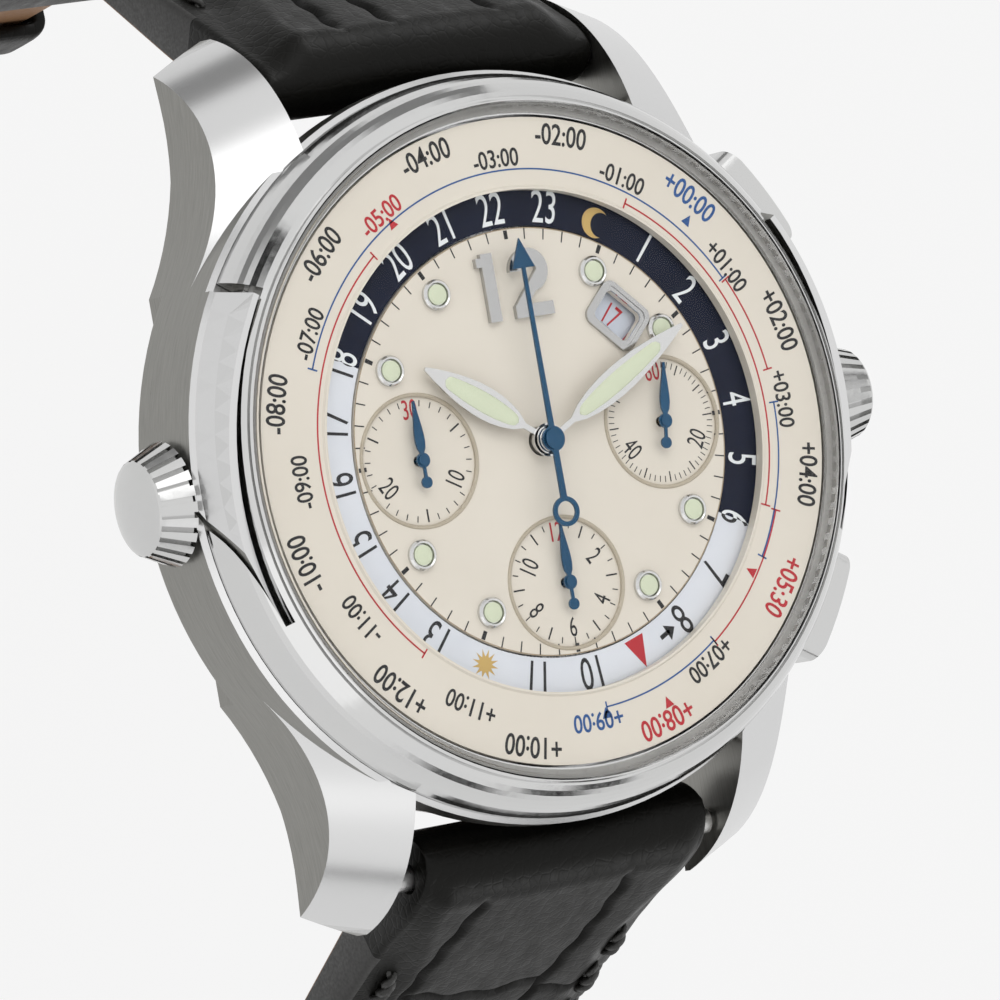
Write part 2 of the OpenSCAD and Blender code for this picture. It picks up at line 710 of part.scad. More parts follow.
module movement_holder() {
    lip_z = day_ring_z - gap;
    rail_z = zone_skirt_z - gap;
    stem_wheel_x = idler_x + face_wheel_r - stem_wheel_t / 2;
    color("lightgray") difference() {
        union() {
            ring(bore_r - gap, movement_r + gap, back_spigot_z + 0.6, holder_top_z - back_spigot_z - 0.6);
            ring(day_ring_r, movement_r + gap, holder_top_z - eps, lip_z - holder_top_z + eps);
            ring(bore_r - gap, zone_pitch_r + run, holder_top_z - eps, rail_z - holder_top_z + eps);
        }
        rotate([0, 0, 180]) {
            stem_rod(stem_r + run, idler_x + 0.3, band_r);
            stem_rod(stem_wheel_r + tooth_reach + gap, stem_wheel_x - gap, band_r);
            translate([idler_x, 0, 0]) {
                disc(idler_pin_r + run, stem_z, 4);
                disc(face_wheel_r + stem_wheel_t / 2 + gap, face_wheel_z - gap, 4);
            }
        }
        stem_rod(stem_r + run, 0, band_r);
        stem_rod(1.1 + 2 * gap, movement_r + 0.5, movement_r + 1.8);
        for (side = [-1, 1]) at_pusher(side) rotate([0, 90, 0])
            cylinder(r = pusher_stem_r + gap, h = band_r);
    }
}

module mainplate() {
    color("silver") difference() {
        disc(movement_r, mainplate_z, module_z - mainplate_z);
        disc(minute_tube_out + gap, mainplate_z - 1, 4);
        translate([fourth_x, 0, 0]) disc(arbor_hole_r, mainplate_z - 1, 4);
        translate([third_x, third_y, 0]) disc(arbor_hole_r, mainplate_z - 1, 1.6);
        translate([escape_x, escape_y, 0]) disc(arbor_hole_r, mainplate_z - 1, 1.6);
        translate([pallet_x, pallet_y, 0]) disc(arbor_hole_r, mainplate_z - 1, 1.6);
        translate([balance_x, balance_y, 0]) disc(arbor_hole_r, mainplate_z - 1, 1.6);
        translate([barrel_x, barrel_y, 0]) disc(barrel_arbor_r + run, mainplate_z - 1, 1.6);
        stem_rod(stem_r + run, stem_in_x - 0.8, movement_r + 1);
        disc(4.9, mainplate_z - eps, 0.25);
    }
}

module chronograph_module() {
    color("silver") difference() {
        disc(movement_r - 0.1, module_z, module_top_z - module_z);
        disc(hour_tube_out + gap, module_z - 1, 4);
        for (a = small_dial_angles) rotate([0, 0, a]) translate([small_dial_pitch_r, 0, 0])
            disc(arbor_hole_r, a == 0 ? module_z - 1 : module_z + 0.6, 4);
        for (a = dial_foot_angles) rotate([0, 0, a]) translate([dial_r - dial_foot_in, 0, 0])
            disc(dial_foot_r + eps, module_z + 0.6, 4);
        ring(date_disc_in_r + 1.5, date_disc_in_r + 0.3, module_top_z - 0.12, 1);
    }
}

// Outline of a bridge: a slice of the movement's circle
module bridge_2d(points) {
    intersection() {
        circle(movement_r - 0.3);
        polygon(points);
    }
}

module screw_seats() {
    for (p = bridge_screw_places) translate([p[0], p[1], 0]) disc(screw_head_r + run, bridge_z - 1, 1.3);
}

// The wall that carries a bridge, between two angles
module bridge_foot(from, to) {
    foot_in = movement_r - 1.25;
    translate([0, 0, bridge_top_z - eps]) linear_extrude(mainplate_z - bridge_top_z + eps) intersection() {
        difference() {
            circle(movement_r - 0.3);
            circle(foot_in);
        }
        polygon(concat([[0, 0]], [for (a = [from, (from + to) / 2, to]) 3 * movement_r * [cos(a), sin(a)]]));
    }
}

module barrel_bridge() {
    far = movement_r + 0.5;
    color("lightgray") difference() {
        union() {
            translate([0, 0, bridge_z]) linear_extrude(bridge_t)
                bridge_2d([[-far, bridge_split_y], [far, bridge_split_y], [far, far], [-far, far]]);
            bridge_foot(5, 45);
            bridge_foot(135, 182);
            disc(1.0, bridge_z - 0.8, 0.8 + eps);
        }
        translate([fourth_x, 0, 0]) disc(jewel_r, bridge_z - 1, 3);
        translate([barrel_x, barrel_y, 0]) disc(barrel_arbor_r + run, bridge_z - 1, 3);
        disc(minute_tube_out + run, bridge_z + 0.35, 3);
        screw_seats();
    }
}

module train_bridge() {
    far = movement_r + 0.5;
    edge_y = bridge_split_y - 0.15;
    color("lightgray") difference() {
        union() {
            translate([0, 0, bridge_z]) linear_extrude(bridge_t) bridge_2d([
                [third_x - 3.17, edge_y], [far, edge_y], [far, escape_y - 2],
                [escape_x - 0.8, escape_y - 1.2], [third_x + 1, third_y - 1.9],
                [third_x - 3.17, third_y - 1.5]
            ]);
            bridge_foot(-18, -7);
        }
        translate([third_x, third_y, 0]) disc(jewel_r, bridge_z - 1, 3);
        translate([escape_x, escape_y, 0]) disc(jewel_r, bridge_z - 1, 3);
        screw_seats();
    }
}

module balance_cock() {
    arm_l = sqrt(pow(balance_x - cock_foot_x, 2) + pow(balance_y - cock_foot_y, 2));
    arm_dir = atan2(balance_y - cock_foot_y, balance_x - cock_foot_x);
    color("lightgray") difference() {
        union() {
            translate([0, 0, bridge_z]) linear_extrude(bridge_t) {
                translate([cock_foot_x, cock_foot_y]) {
                    circle(1.5);
                    rotate([0, 0, arm_dir]) translate([0, -0.85]) square([arm_l, 1.7]);
                }
                translate([balance_x, balance_y]) circle(1.4);
            }
            translate([cock_foot_x, cock_foot_y, 0])
                disc(1.3, bridge_top_z - eps, mainplate_z - bridge_top_z + eps);
        }
        translate([balance_x, balance_y, 0]) disc(jewel_r, bridge_z - 1, 3);
        screw_seats();
    }
}

module jewels() {
    places = [[fourth_x, 0], [third_x, third_y], [escape_x, escape_y], [balance_x, balance_y]];
    color("crimson") for (p = places) translate([p[0], p[1], 0])
        ring(jewel_r - 0.01, arbor_hole_r, bridge_z + 0.1, bridge_t - 0.15);
}

module bridge_screws() {
    color("steelblue") for (p = bridge_screw_places) translate([p[0], p[1], 0]) difference() {
        disc(screw_head_r, bridge_z - eps, 0.32);
        translate([0, 0, bridge_z]) rotate([0, 0, 30]) cube([3, 0.2, 0.25], center = true);
    }
}

module barrel() {
    color("goldenrod") translate([barrel_x, barrel_y, 0]) {
        disc((barrel_teeth * barrel_module) / 2 - 0.35, barrel_z, barrel_drum_t - 0.2);
        gear(barrel_teeth, barrel_module, barrel_z + barrel_drum_t - 0.22, 0.22,
            barrel_dir + 180 + 180 / barrel_teeth);
        disc(barrel_arbor_r, bridge_z + gap, mainplate_z - bridge_z + 0.4);
    }
}

module centre_wheel() {
    color("goldenrod") difference() {
        union() {
            spoked_wheel(centre_teeth, centre_module, centre_wheel_z, wheel_t, third_dir);
            gear(centre_leaves, barrel_module, barrel_z + barrel_drum_t - 0.3, 0.36, barrel_dir);
            disc(minute_tube_out, bridge_z + 0.4, minute_hand_z - bridge_z - 0.4);
        }
        disc(minute_tube_in, module_z - 0.6, 6);
    }
}

module third_wheel() {
    color("goldenrod") translate([third_x, third_y, 0]) {
        spoked_wheel(third_teeth, third_module, third_wheel_z, wheel_t, third_fourth_dir);
        gear(third_leaves, centre_module, centre_wheel_z - 0.08, wheel_t + 0.16,
            third_dir + 180 + 180 / third_leaves);
        disc(arbor_r, bridge_z + 0.2, mainplate_z - bridge_z + 0.3);
    }
}

module fourth_wheel() {
    color("goldenrod") translate([fourth_x, 0, 0]) {
        spoked_wheel(fourth_teeth, fourth_module, fourth_wheel_z, wheel_t, escape_dir);
        gear(fourth_leaves, third_module, third_wheel_z - 0.08, wheel_t + 0.16,
            third_fourth_dir + 180 + 180 / fourth_leaves);
        disc(arbor_r, bridge_z + 0.2, small_hand_z - bridge_z - 0.2 - eps);
    }
}

module escape_wheel() {
    points = [for (i = [0 : escape_teeth - 1], k = [0 : 1])
        let (a = (i + 0.5 * k) * 360 / escape_teeth)
        let (r = k == 0 ? escape_r : escape_r * 0.8)
        [r * cos(a), r * sin(a)]];
    color("lightsteelblue") translate([escape_x, escape_y, 0]) {
        translate([0, 0, escape_wheel_z]) linear_extrude(wheel_t - 0.04) difference() {
            polygon(points);
            for (a = [0 : 90 : 270]) rotate([0, 0, a]) translate([escape_r * 0.45, 0])
                circle(escape_r * 0.22, $fn = 32);
        }
        gear(escape_leaves, fourth_module, fourth_wheel_z - 0.08, wheel_t + 0.16,
            escape_dir + 180 + 180 / escape_leaves);
        disc(arbor_r, bridge_z + 0.2, mainplate_z - bridge_z + 0.3);
    }
}

module pallet_fork() {
    reach = sqrt(pow(pallet_x - escape_x, 2) + pow(pallet_y - escape_y, 2));
    lever = sqrt(pow(balance_x - pallet_x, 2) + pow(balance_y - pallet_y, 2)) - 1.05;
    pallet_r = 0.22;
    color("lightsteelblue") translate([pallet_x, pallet_y, 0]) rotate([0, 0, pallet_dir]) {
        translate([0, 0, escape_wheel_z]) linear_extrude(wheel_t - 0.04) {
            translate([-0.15, -0.2]) square([lever + 0.15, 0.4]);
            translate([-0.4, -1.5]) square([0.45, 3.0]);
            for (side = [-1, 1]) {
                translate([-0.75, side * 1.35 - pallet_r]) square([0.8, 2 * pallet_r]);
                translate([lever - 0.3, side * 0.25 - 0.1]) square([0.45, 0.2]);
            }
        }
        disc(arbor_r, balance_wheel_z + 0.4, mainplate_z - balance_wheel_z - 0.1);
    }
}

module balance_wheel() {
    color("goldenrod") translate([balance_x, balance_y, 0]) {
        ring(balance_d / 2, balance_d / 2 - 0.5, balance_wheel_z, 0.28);
        for (a = [0, 90]) rotate([0, 0, a]) translate([-balance_d / 2 + 0.3, -0.25, balance_wheel_z])
            cube([balance_d - 0.6, 0.5, 0.2]);
        disc(0.5, escape_wheel_z, wheel_t - 0.04);
        disc(arbor_r, bridge_z + 0.2, mainplate_z - bridge_z + 0.3);
    }
}

module hairspring() {
    turns = 6;
    steps = 16 * turns;
    r0 = arbor_r + 0.02;
    r1 = balance_d / 2 - 1.3;
    strip = 0.06;
    function spiral(r_add) = [for (i = [0 : steps])
        let (a = 360 * turns * i / steps)
        let (r = r0 + (r1 - r0) * i / steps + r_add)
        [r * cos(a), r * sin(a)]];
    inner = spiral(0);
    color("steelblue") translate([balance_x, balance_y, fourth_wheel_z - 0.1]) linear_extrude(0.09)
        polygon(concat(spiral(strip), [for (i = [steps : -1 : 0]) inner[i]]));
}

module winding_rotor() {
    plate_z = rotor_top_z - rotor_plate_t;
    color("silver") difference() {
        union() {
            disc(2.6, rotor_z + 0.2, rotor_top_z - rotor_z - 0.2);
            translate([0, 0, plate_z]) linear_extrude(rotor_plate_t) difference() {
                intersection() {
                    circle(rotor_r - 0.2);
                    translate([-rotor_r, -rotor_r]) square([2 * rotor_r, rotor_r + 0.9]);
                }
                for (a = [-150, -90, -30]) rotate([0, 0, a]) intersection() {
                    difference() {
                        circle(rotor_r - rotor_rim - 0.6);
                        circle(4.4);
                    }
                    rotate([0, 0, -66]) square(rotor_r);
                    rotate([0, 0, -24]) square(rotor_r);
                }
            }
            translate([0, 0, rotor_z]) linear_extrude(rotor_top_z - rotor_z) intersection() {
                difference() {
                    circle(rotor_r);
                    circle(rotor_r - rotor_rim);
                }
                translate([-rotor_r, -rotor_r]) square([2 * rotor_r, rotor_r + 0.9]);
            }
        }
        disc(1.0 + run, rotor_z + 0.5, 3);
    }
}

module date_window_2d(grow) {
    rotate([0, 0, date_angle]) translate([date_r, 0])
        rounded_bar_2d(
            date_frame_l - 2 * date_bevel + 2 * grow,
            date_frame_w - 2 * date_bevel + 2 * grow,
            0.35 + grow / 2
        );
}

module dial() {
    color("ivory") difference() {
        union() {
            disc(dial_r, dial_bottom_z, dial_t);
            for (a = dial_foot_angles) rotate([0, 0, a]) translate([dial_r - dial_foot_in, 0, 0])
                disc(dial_foot_r, module_top_z - 0.6, dial_bottom_z - module_top_z + 0.6 + eps);
        }
        disc(centre_hole_r, dial_bottom_z - 1, 3);
        for (a = small_dial_angles) rotate([0, 0, a]) translate([small_dial_pitch_r, 0, 0]) {
            disc(arbor_hole_r + gap, dial_bottom_z - 1, 3);
            disc(small_dial_r - rim_w, dial_z - small_dial_depth, 1);
        }
        translate([0, 0, dial_bottom_z - 1]) linear_extrude(3) date_window_2d(eps);
    }
}

module small_dial_rims() {
    rim_in = small_dial_r - rim_w;
    floor_z = dial_z - small_dial_depth;
    color("tan") for (a = small_dial_angles) rotate([0, 0, a]) translate([small_dial_pitch_r, 0, 0])
        rotate_extrude() polygon([
            [rim_in - 0.04, floor_z], [rim_in - 0.04, dial_z + 0.03], [small_dial_r - 0.15, dial_z + 0.08],
            [small_dial_r - 0.05, dial_z + 0.08], [small_dial_r, dial_z + 0.03], [small_dial_r, dial_z],
            [rim_in - 0.01, dial_z], [rim_in - 0.01, floor_z]
        ]);
}

lume_angles = [for (h = [1, 2, 4, 5, 7, 8, 10, 11]) 90 - 30 * h];

module lume_cups() {
    color("silver") for (a = lume_angles) rotate([0, 0, a]) translate([lume_pitch_r, 0, 0]) rotate_extrude()
        polygon([
            [0, dial_z], [lume_cup_d / 2, dial_z], [lume_cup_d / 2, dial_z + 0.22],
            [lume_cup_d / 2 - 0.1, dial_z + 0.34], [lume_cup_d / 2 - 0.2, dial_z + 0.3],
            [lume_cup_d / 2 - 0.26, dial_z + 0.12], [0, dial_z + 0.12]
        ]);
}

module lume_dots() {
    dot_r = lume_cup_d / 2 - 0.3;
    color("palegreen") for (a = lume_angles) rotate([0, 0, a]) translate([lume_pitch_r, 0, 0])
        rotate_extrude() polygon([
            [0, dial_z + 0.12], [dot_r, dial_z + 0.12], [dot_r, dial_z + 0.26],
            [dot_r - 0.15, dial_z + 0.3], [0, dial_z + 0.32]
        ]);
}

module applied_twelve() {
    s = twelve_stroke;
    h = twelve_h;
    bowl = 1.25;
    color("silver") translate([0, twelve_y, dial_z]) linear_extrude(0.35) {
        translate([-2.1, -h / 2]) square([s, h]);
        translate([-2.45, h / 2 - s]) square([0.5, s * 0.7]);
        translate([-0.35, -h / 2]) {
            square([2 * bowl, s]);
            translate([bowl, h - bowl]) difference() {
                circle(bowl);
                circle(bowl - s);
                translate([-bowl, -bowl]) square([bowl, bowl]);
            }
            polygon([[0, s * 0.9], [s * 1.15, s * 0.9], [2 * bowl, h - bowl], [2 * bowl - s, h - bowl]]);
        }
    }
}

module date_frame() {
    color("silver") difference() {
        translate([0, 0, dial_z]) linear_extrude(0.22) date_window_2d(date_bevel);
        translate([0, 0, dial_z - 1]) linear_extrude(3) date_window_2d(eps);
        translate([0, 0, dial_z + 0.14]) linear_extrude(1) date_window_2d(0.25);
    }
}

module date_disc() {
    tooth_n = 31;
    hub_z = module_top_z + 0.08;
    r_in = date_disc_in_r + 0.55;
    points = [for (i = [0 : tooth_n - 1], k = [0 : 3])
        let (a = (i + [-0.25, -0.1, 0.1, 0.25][k]) * 360 / tooth_n)
        let (r = k == 0 || k == 3 ? r_in + 0.45 : r_in)
        [r * cos(a), r * sin(a)]];
    color("whitesmoke") {
        ring(date_disc_out_r, date_disc_in_r, date_disc_z, date_disc_t);
        translate([0, 0, hub_z]) linear_extrude(date_disc_z - hub_z) difference() {
            circle(r_in + 0.8);
            polygon(points);
        }
    }
}

module day_night_ring() {
    color("midnightblue") ring(day_ring_r, day_ring_in_r, day_ring_z, day_ring_t);
}

module zone_ring() {
    lip = 0.12;
    color("ivory") {
        rotate_extrude() polygon([
            [zone_ring_in_r, zone_ring_z], [zone_ring_r, zone_ring_z],
            [zone_ring_r, zone_ring_z + zone_ring_t], [zone_ring_in_r + 2 * lip, zone_ring_z + zone_ring_t],
            [zone_ring_in_r + lip, zone_ring_z + zone_ring_t + lip],
            [zone_ring_in_r, zone_ring_z + zone_ring_t + lip]
        ]);
        translate([0, 0, zone_skirt_z]) linear_extrude(zone_ring_z - zone_skirt_z + eps) difference() {
            circle(zone_skirt_r);
            rotate([0, 0, 180])
                polygon(gear_points(
                    zone_teeth, idler_module, root = 0.8, tip = 1.1, wide = 0.36, narrow = 0.24
                ));
        }
    }
}

// A leaf-shaped hand along +Y with a lume window
module leaf_hand_2d(length, wide, root, hub_r) {
    steps = 10;
    side = [for (i = [0 : steps])
        let (t = i / steps)
        let (w = 0.09 + (wide / 2 - 0.09) * pow(sin(180 * pow(t, 0.8)), 0.9))
        [w, root + (length - root) * t]];
    circle(hub_r);
    translate([-0.16, 0]) square([0.32, root + 0.2]);
    polygon(concat(side, [for (i = [steps : -1 : 0]) [-side[i][0], side[i][1]]]));
}

module hour_hand() {
    color("silver") difference() {
        rotate([0, 0, -hour_angle]) union() {
            translate([0, 0, hour_hand_z]) linear_extrude(hand_t) leaf_hand_2d(hour_hand_l, 1.9, 1.6, 0.95);
            disc(hour_tube_out, module_z + 0.3, hour_hand_z - module_z - 0.2);
        }
        disc(hour_tube_in, module_z - 1, 6);
    }
}

module minute_hand() {
    color("silver") difference() {
        rotate([0, 0, -minute_angle]) union() {
            translate([0, 0, minute_hand_z]) linear_extrude(hand_t)
                leaf_hand_2d(minute_hand_l, 1.75, 1.7, 0.85);
            disc(0.7, minute_hand_z, hand_t + hub_step);
        }
        disc(minute_tube_in, module_z - 1, 6);
    }
}

module chronograph_hand() {
    head_l = 1.7;
    head_w = 1.45;
    weight_r = 0.85;
    color("royalblue") {
        translate([0, 0, chrono_hand_z]) linear_extrude(hand_t) {
            difference() {
                union() {
                    translate([0, -chrono_tail_l]) circle(weight_r);
                    circle(0.72);
                    polygon([
                        [-0.2, -chrono_tail_l + weight_r / 2], [0.2, -chrono_tail_l + weight_r / 2],
                        [0.11, chrono_hand_l - head_l], [-0.11, chrono_hand_l - head_l]
                    ]);
                }
                translate([0, -chrono_tail_l]) circle(weight_r - 0.27);
            }
            translate([0, chrono_hand_l - head_l])
                polygon([[-head_w / 2, 0], [head_w / 2, 0], [0, head_l]]);
        }
        disc(0.6, chrono_hand_z, chrono_hub_t);
        disc(chrono_arbor_r, module_z - 0.4, chrono_hand_z - module_z + 0.4);
    }
}

// A small pear-shaped hand on its arbor, drawn along +Y
module small_hand(arbor_bottom) {
    steps = 8;
    side = [for (i = [0 : steps])
        let (t = i / steps)
        let (w = 0.07 + 0.24 * pow(sin(180 * pow(t, 0.55)), 1.4))
        [w, 0.3 + (small_hand_l - 0.3) * t]];
    translate([0, 0, small_hand_z]) linear_extrude(hand_t - 0.02) {
        circle(0.42);
        polygon(concat(side, [for (i = [steps : -1 : 0]) [-side[i][0], side[i][1]]]));
        translate([-0.09, -1.1]) square([0.18, 1]);
        translate([0, -1.25]) circle(0.33);
    }
    disc(0.32, small_hand_z, 0.2);
    disc(arbor_r, arbor_bottom, small_hand_z - arbor_bottom);
}

module seconds_hand() {
    color("royalblue") translate([fourth_x, 0, 0]) rotate([0, 0, -seconds_angle])
        small_hand(small_hand_z - eps);
}

module minute_counter_hand() {
    color("royalblue") translate([-small_dial_pitch_r, 0, 0]) small_hand(module_z + 0.7);
}

module hour_counter_hand() {
    color("royalblue") translate([0, -small_dial_pitch_r, 0]) small_hand(module_z + 0.7);
}

// A fluted crown along +X, its inner face at x = 0: a leaning skirt and a domed face
module crown(d, l) {
    r = d / 2;
    face_r = r * crown_face_share;
    skirt_l = l * crown_skirt_share;
    lean = atan2(r - face_r, skirt_l);
    flute_w = 0.36 * PI * d / crown_flutes;
    difference() {
        rotate([0, 90, 0]) rotate_extrude() polygon(concat(
            [[0, 0], [r, 0]],
            [for (i = [0 : 8])
                let (a = 90 * i / 8)
                [face_r * cos(a), skirt_l + (l - skirt_l) * sin(a)]]
        ));
        for (i = [0 : crown_flutes - 1]) rotate([i * 360 / crown_flutes, 0, 0]) translate([0, 0, r])
            rotate([0, lean, 0]) translate([-1, -flute_w / 2, -flute_depth])
                cube([skirt_l / cos(lean) + 1.2, flute_w, 3 * flute_depth]);
        translate([-eps, 0, 0]) rotate([0, 90, 0]) cylinder(r = tube_r + gap, h = crown_bore_l + eps);
    }
}

module winding_crown() {
    color("silver") translate([crown_x, 0, stem_z]) crown(winding_crown_d, winding_crown_l);
}

module winding_stem() {
    color("gray") stem_rod(stem_r, stem_in_x, crown_x + crown_bore_l);
}

module winding_pinion() {
    pinion_x = movement_r + 0.6;
    color("gray") difference() {
        translate([pinion_x, 0, stem_z]) rotate([90, 0, 90]) linear_extrude(1.1)
            polygon(gear_points(14, 0.14));
        stem_rod(stem_r + 0.02, 0, band_r);
    }
}

module zone_crown() {
    color("silver") rotate([0, 0, 180]) translate([crown_x, 0, stem_z]) crown(zone_crown_d, zone_crown_l);
}

module zone_stem() {
    wheel_m = 2 * stem_wheel_r / stem_wheel_teeth;
    wheel_x = idler_x + face_wheel_r - stem_wheel_t / 2;
    color("gray") rotate([0, 0, 180]) {
        stem_rod(stem_r, idler_x + 0.4, crown_x + crown_bore_l);
        translate([wheel_x, 0, stem_z]) rotate([90, 0, 90]) rotate([0, 0, 90]) linear_extrude(stem_wheel_t)
            polygon(gear_points(
                stem_wheel_teeth, wheel_m, root = 1.3, tip = tooth_reach / wheel_m, wide = 0.24, narrow = 0.1
            ));
    }
}

module zone_idler() {
    color("goldenrod") translate([-idler_x, 0, 0]) {
        difference() {
            disc(face_wheel_r + stem_wheel_t / 2, face_wheel_z, face_wheel_t);
            for (i = [0 : face_wheel_teeth - 1]) rotate([0, 0, 180 + i * 360 / face_wheel_teeth])
                translate([face_wheel_r - stem_wheel_t, -0.16, face_wheel_z - 1]) cube([2, 0.32, 1.45]);
        }
        gear(idler_leaves, idler_module, zone_skirt_z + 0.08, 0.5, 180);
        disc(0.45, face_wheel_z + face_wheel_t - eps, zone_skirt_z - face_wheel_z - face_wheel_t + 0.2);
        disc(idler_pin_r, stem_z + 1.0, face_wheel_z - stem_z - 1.0 + eps);
    }
}

module crown_tubes() {
    color("gray") for (side = [0, 180]) rotate([0, 0, side]) difference() {
        stem_rod(tube_r - 0.01, bore_r + 0.1, tube_end_x);
        stem_rod(stem_r + run, 0, band_r + 3);
    }
}

module pusher(side) {
    cap_in = pusher_floor_x + pusher_travel + gap;
    color("silver") at_pusher(side) {
        intersection() {
            translate([cap_in, 0, 0]) rotate([90, 0, 90]) linear_extrude(4) pusher_cap_2d(0);
            cylinder(r = band_r + pusher_proud, h = 20, center = true);
        }
        rotate([0, 90, 0]) {
            translate([0, 0, bore_r - 0.6]) cylinder(r = pusher_stem_r, h = cap_in - bore_r + 0.6 + eps);
        }
    }
}

module pusher_start() {
    pusher(1);
}

module pusher_reset() {
    pusher(-1);
}

module spring_bars() {
    color("gray") for (side = [-1, 1]) translate([0, side * spring_bar_y, spring_bar_z]) rotate([0, 90, 0]) {
        cylinder(d = spring_bar_d, h = strap_w, center = true);
        cylinder(d = spring_bar_tip_d, h = lug_gap + 2 * spring_bar_tip_l, center = true);
    }
}

// Middle line of a strap half in the YZ plane, from the spring bar outwards
function run_point(s, bend_l, end_dir) =
    let (turn = (strap_root_dir - end_dir) * PI / 180)
    let (bend_r = bend_l / turn)
    let (a = strap_root_dir)
    let (b = end_dir)
    let (start = [strap_bend_s * cos(a), strap_bend_s * sin(a)])
    let (bend_end = start + bend_r * [sin(a) - sin(b), cos(b) - cos(a)])
    s < strap_bend_s ? s * [cos(a), sin(a)]
    : s < strap_bend_s + bend_l
        ? let (c = a - (s - strap_bend_s) / bend_r * 180 / PI)
            start + bend_r * [sin(a) - sin(c), cos(c) - cos(a)]
        : bend_end + (s - strap_bend_s - bend_l) * [cos(b), sin(b)];

function run_dir(s, bend_l, end_dir) =
    strap_root_dir + (end_dir - strap_root_dir) * min(1, max(0, (s - strap_bend_s) / bend_l));

function run_thickness(s) = s < 22 ? strap_end_t + (strap_t - strap_end_t) * s / 22 : strap_t;

function run_side(length, bend_l, end_dir, side, steps) = [
    for (i = [0 : steps])
        let (s = length * i / steps)
        let (p = run_point(s, bend_l, end_dir))
        let (d = run_dir(s, bend_l, end_dir))
        let (t = run_thickness(s) / 2 * side)
        [p[0] - t * sin(d), p[1] + t * cos(d)]
];

// Side view of a strap half, swept across its width and tapered in front view
module strap_solid(length, bend_l, end_dir) {
    steps = 36;
    outer = run_side(length, bend_l, end_dir, 1, steps);
    inner = run_side(length, bend_l, end_dir, -1, steps);
    low = run_point(length, bend_l, end_dir)[1] - strap_end_t;
    // Half circle round the spring bar, from the inner face back to the outer one
    cap = [for (i = [1 : 13])
        let (a = strap_root_dir + 270 - 180 * i / 14)
        strap_end_t / 2 * [cos(a), sin(a)]];
    intersection() {
        rotate([90, 0, 90]) translate([0, 0, -strap_w / 2]) linear_extrude(strap_w)
            polygon(concat(outer, [for (i = [steps : -1 : 0]) inner[i]], cap));
        translate([0, 60, 0]) rotate([90, 0, 0]) linear_extrude(120) polygon([
            [-strap_w / 2, 10], [-strap_w / 2, -8], [-strap_end_w / 2, low], [strap_end_w / 2, low],
            [strap_w / 2, -8], [strap_w / 2, 10]
        ]);
    }
}

// Puts a child on the buckle half's middle line, its +Y along the strap and +Z outwards
module on_buckle_half(s) {
    p = run_point(s, buckle_bend_l, buckle_end_dir);
    translate([0, spring_bar_y + p[0], spring_bar_z + p[1]])
        rotate([run_dir(s, buckle_bend_l, buckle_end_dir), 0, 0]) children();
}

module on_hole_half(s) {
    p = run_point(s, hole_bend_l, hole_end_dir);
    mirror([0, 1, 0]) translate([0, spring_bar_y + p[0], spring_bar_z + p[1]])
        rotate([run_dir(s, hole_bend_l, hole_end_dir), 0, 0]) children();
}

bar_s = buckle_half_l - 1.7;
tang_slot_w = tang_w + 0.6;

module cross_rod(d, l) {
    rotate([0, 90, 0]) cylinder(d = d, h = l, center = true);
}

module strap_buckle_half() {
    color([0.13, 0.12, 0.11]) difference() {
        translate([0, spring_bar_y, spring_bar_z]) strap_solid(buckle_half_l, buckle_bend_l, buckle_end_dir);
        translate([0, spring_bar_y, spring_bar_z]) cross_rod(spring_bar_d + 2 * run, 40);
        on_buckle_half(bar_s) {
            cross_rod(buckle_bar_d + 0.02, 40);
            translate([0, 4, 0]) cube([tang_slot_w, 14, 8], center = true);
        }
    }
}

module strap_hole_half() {
    tip_l = 12;
    // Half outline of the strap's tip, from its side to its rounded point
    tip = [for (i = [0 : 10])
        let (a = 90 * i / 10)
        [strap_end_w * 0.52 * cos(a), (tip_l - 1) * (0.72 * sin(a) + 0.28 * a / 90) - tip_l]];
    color([0.13, 0.12, 0.11]) difference() {
        translate([0, -spring_bar_y, spring_bar_z]) mirror([0, 1, 0])
            strap_solid(hole_half_l, hole_bend_l, hole_end_dir);
        translate([0, -spring_bar_y, spring_bar_z]) cross_rod(spring_bar_d + 2 * run, 40);
        for (i = [0 : strap_holes - 1]) on_hole_half(hole_half_l - 18 - i * strap_hole_pitch)
            cylinder(d = strap_hole_d, h = 10, center = true);
        for (x = [0, 1]) mirror([x, 0, 0]) on_hole_half(hole_half_l) translate([0, 0, -5]) linear_extrude(10)
            polygon(concat(tip, [[0, 5], [strap_w, 5], [strap_w, -tip_l - 1]]));
    }
}

buckle_in_w = strap_end_w + 0.8;
buckle_out_w = buckle_in_w + 2 * buckle_rod;

module buckle_frame() {
    front_r = 26;
    cross = 2.2;
    color("silver") on_buckle_half(bar_s) difference() {
        intersection() {
            translate([0, 0, -buckle_rod / 2]) linear_extrude(buckle_rod + 0.2) difference() {
                translate([0, buckle_l / 2 - 0.7]) rounded_bar_2d(buckle_out_w, buckle_l + 1.4, 1.3);
                translate([-buckle_in_w / 2, -5]) square([buckle_in_w, 5 + buckle_l - cross]);
            }
            translate([0, buckle_l - front_r, -10]) cylinder(r = front_r, h = 20);
        }
        cross_rod(buckle_bar_d + 2 * run, buckle_in_w + 2);
        translate([0, buckle_l, buckle_rod / 2 + 0.4]) cube([tang_w + 0.4, 6, 0.8], center = true);
    }
}

module buckle_bar() {
    color("gray") on_buckle_half(bar_s) cross_rod(buckle_bar_d, buckle_in_w + 1.9);
}

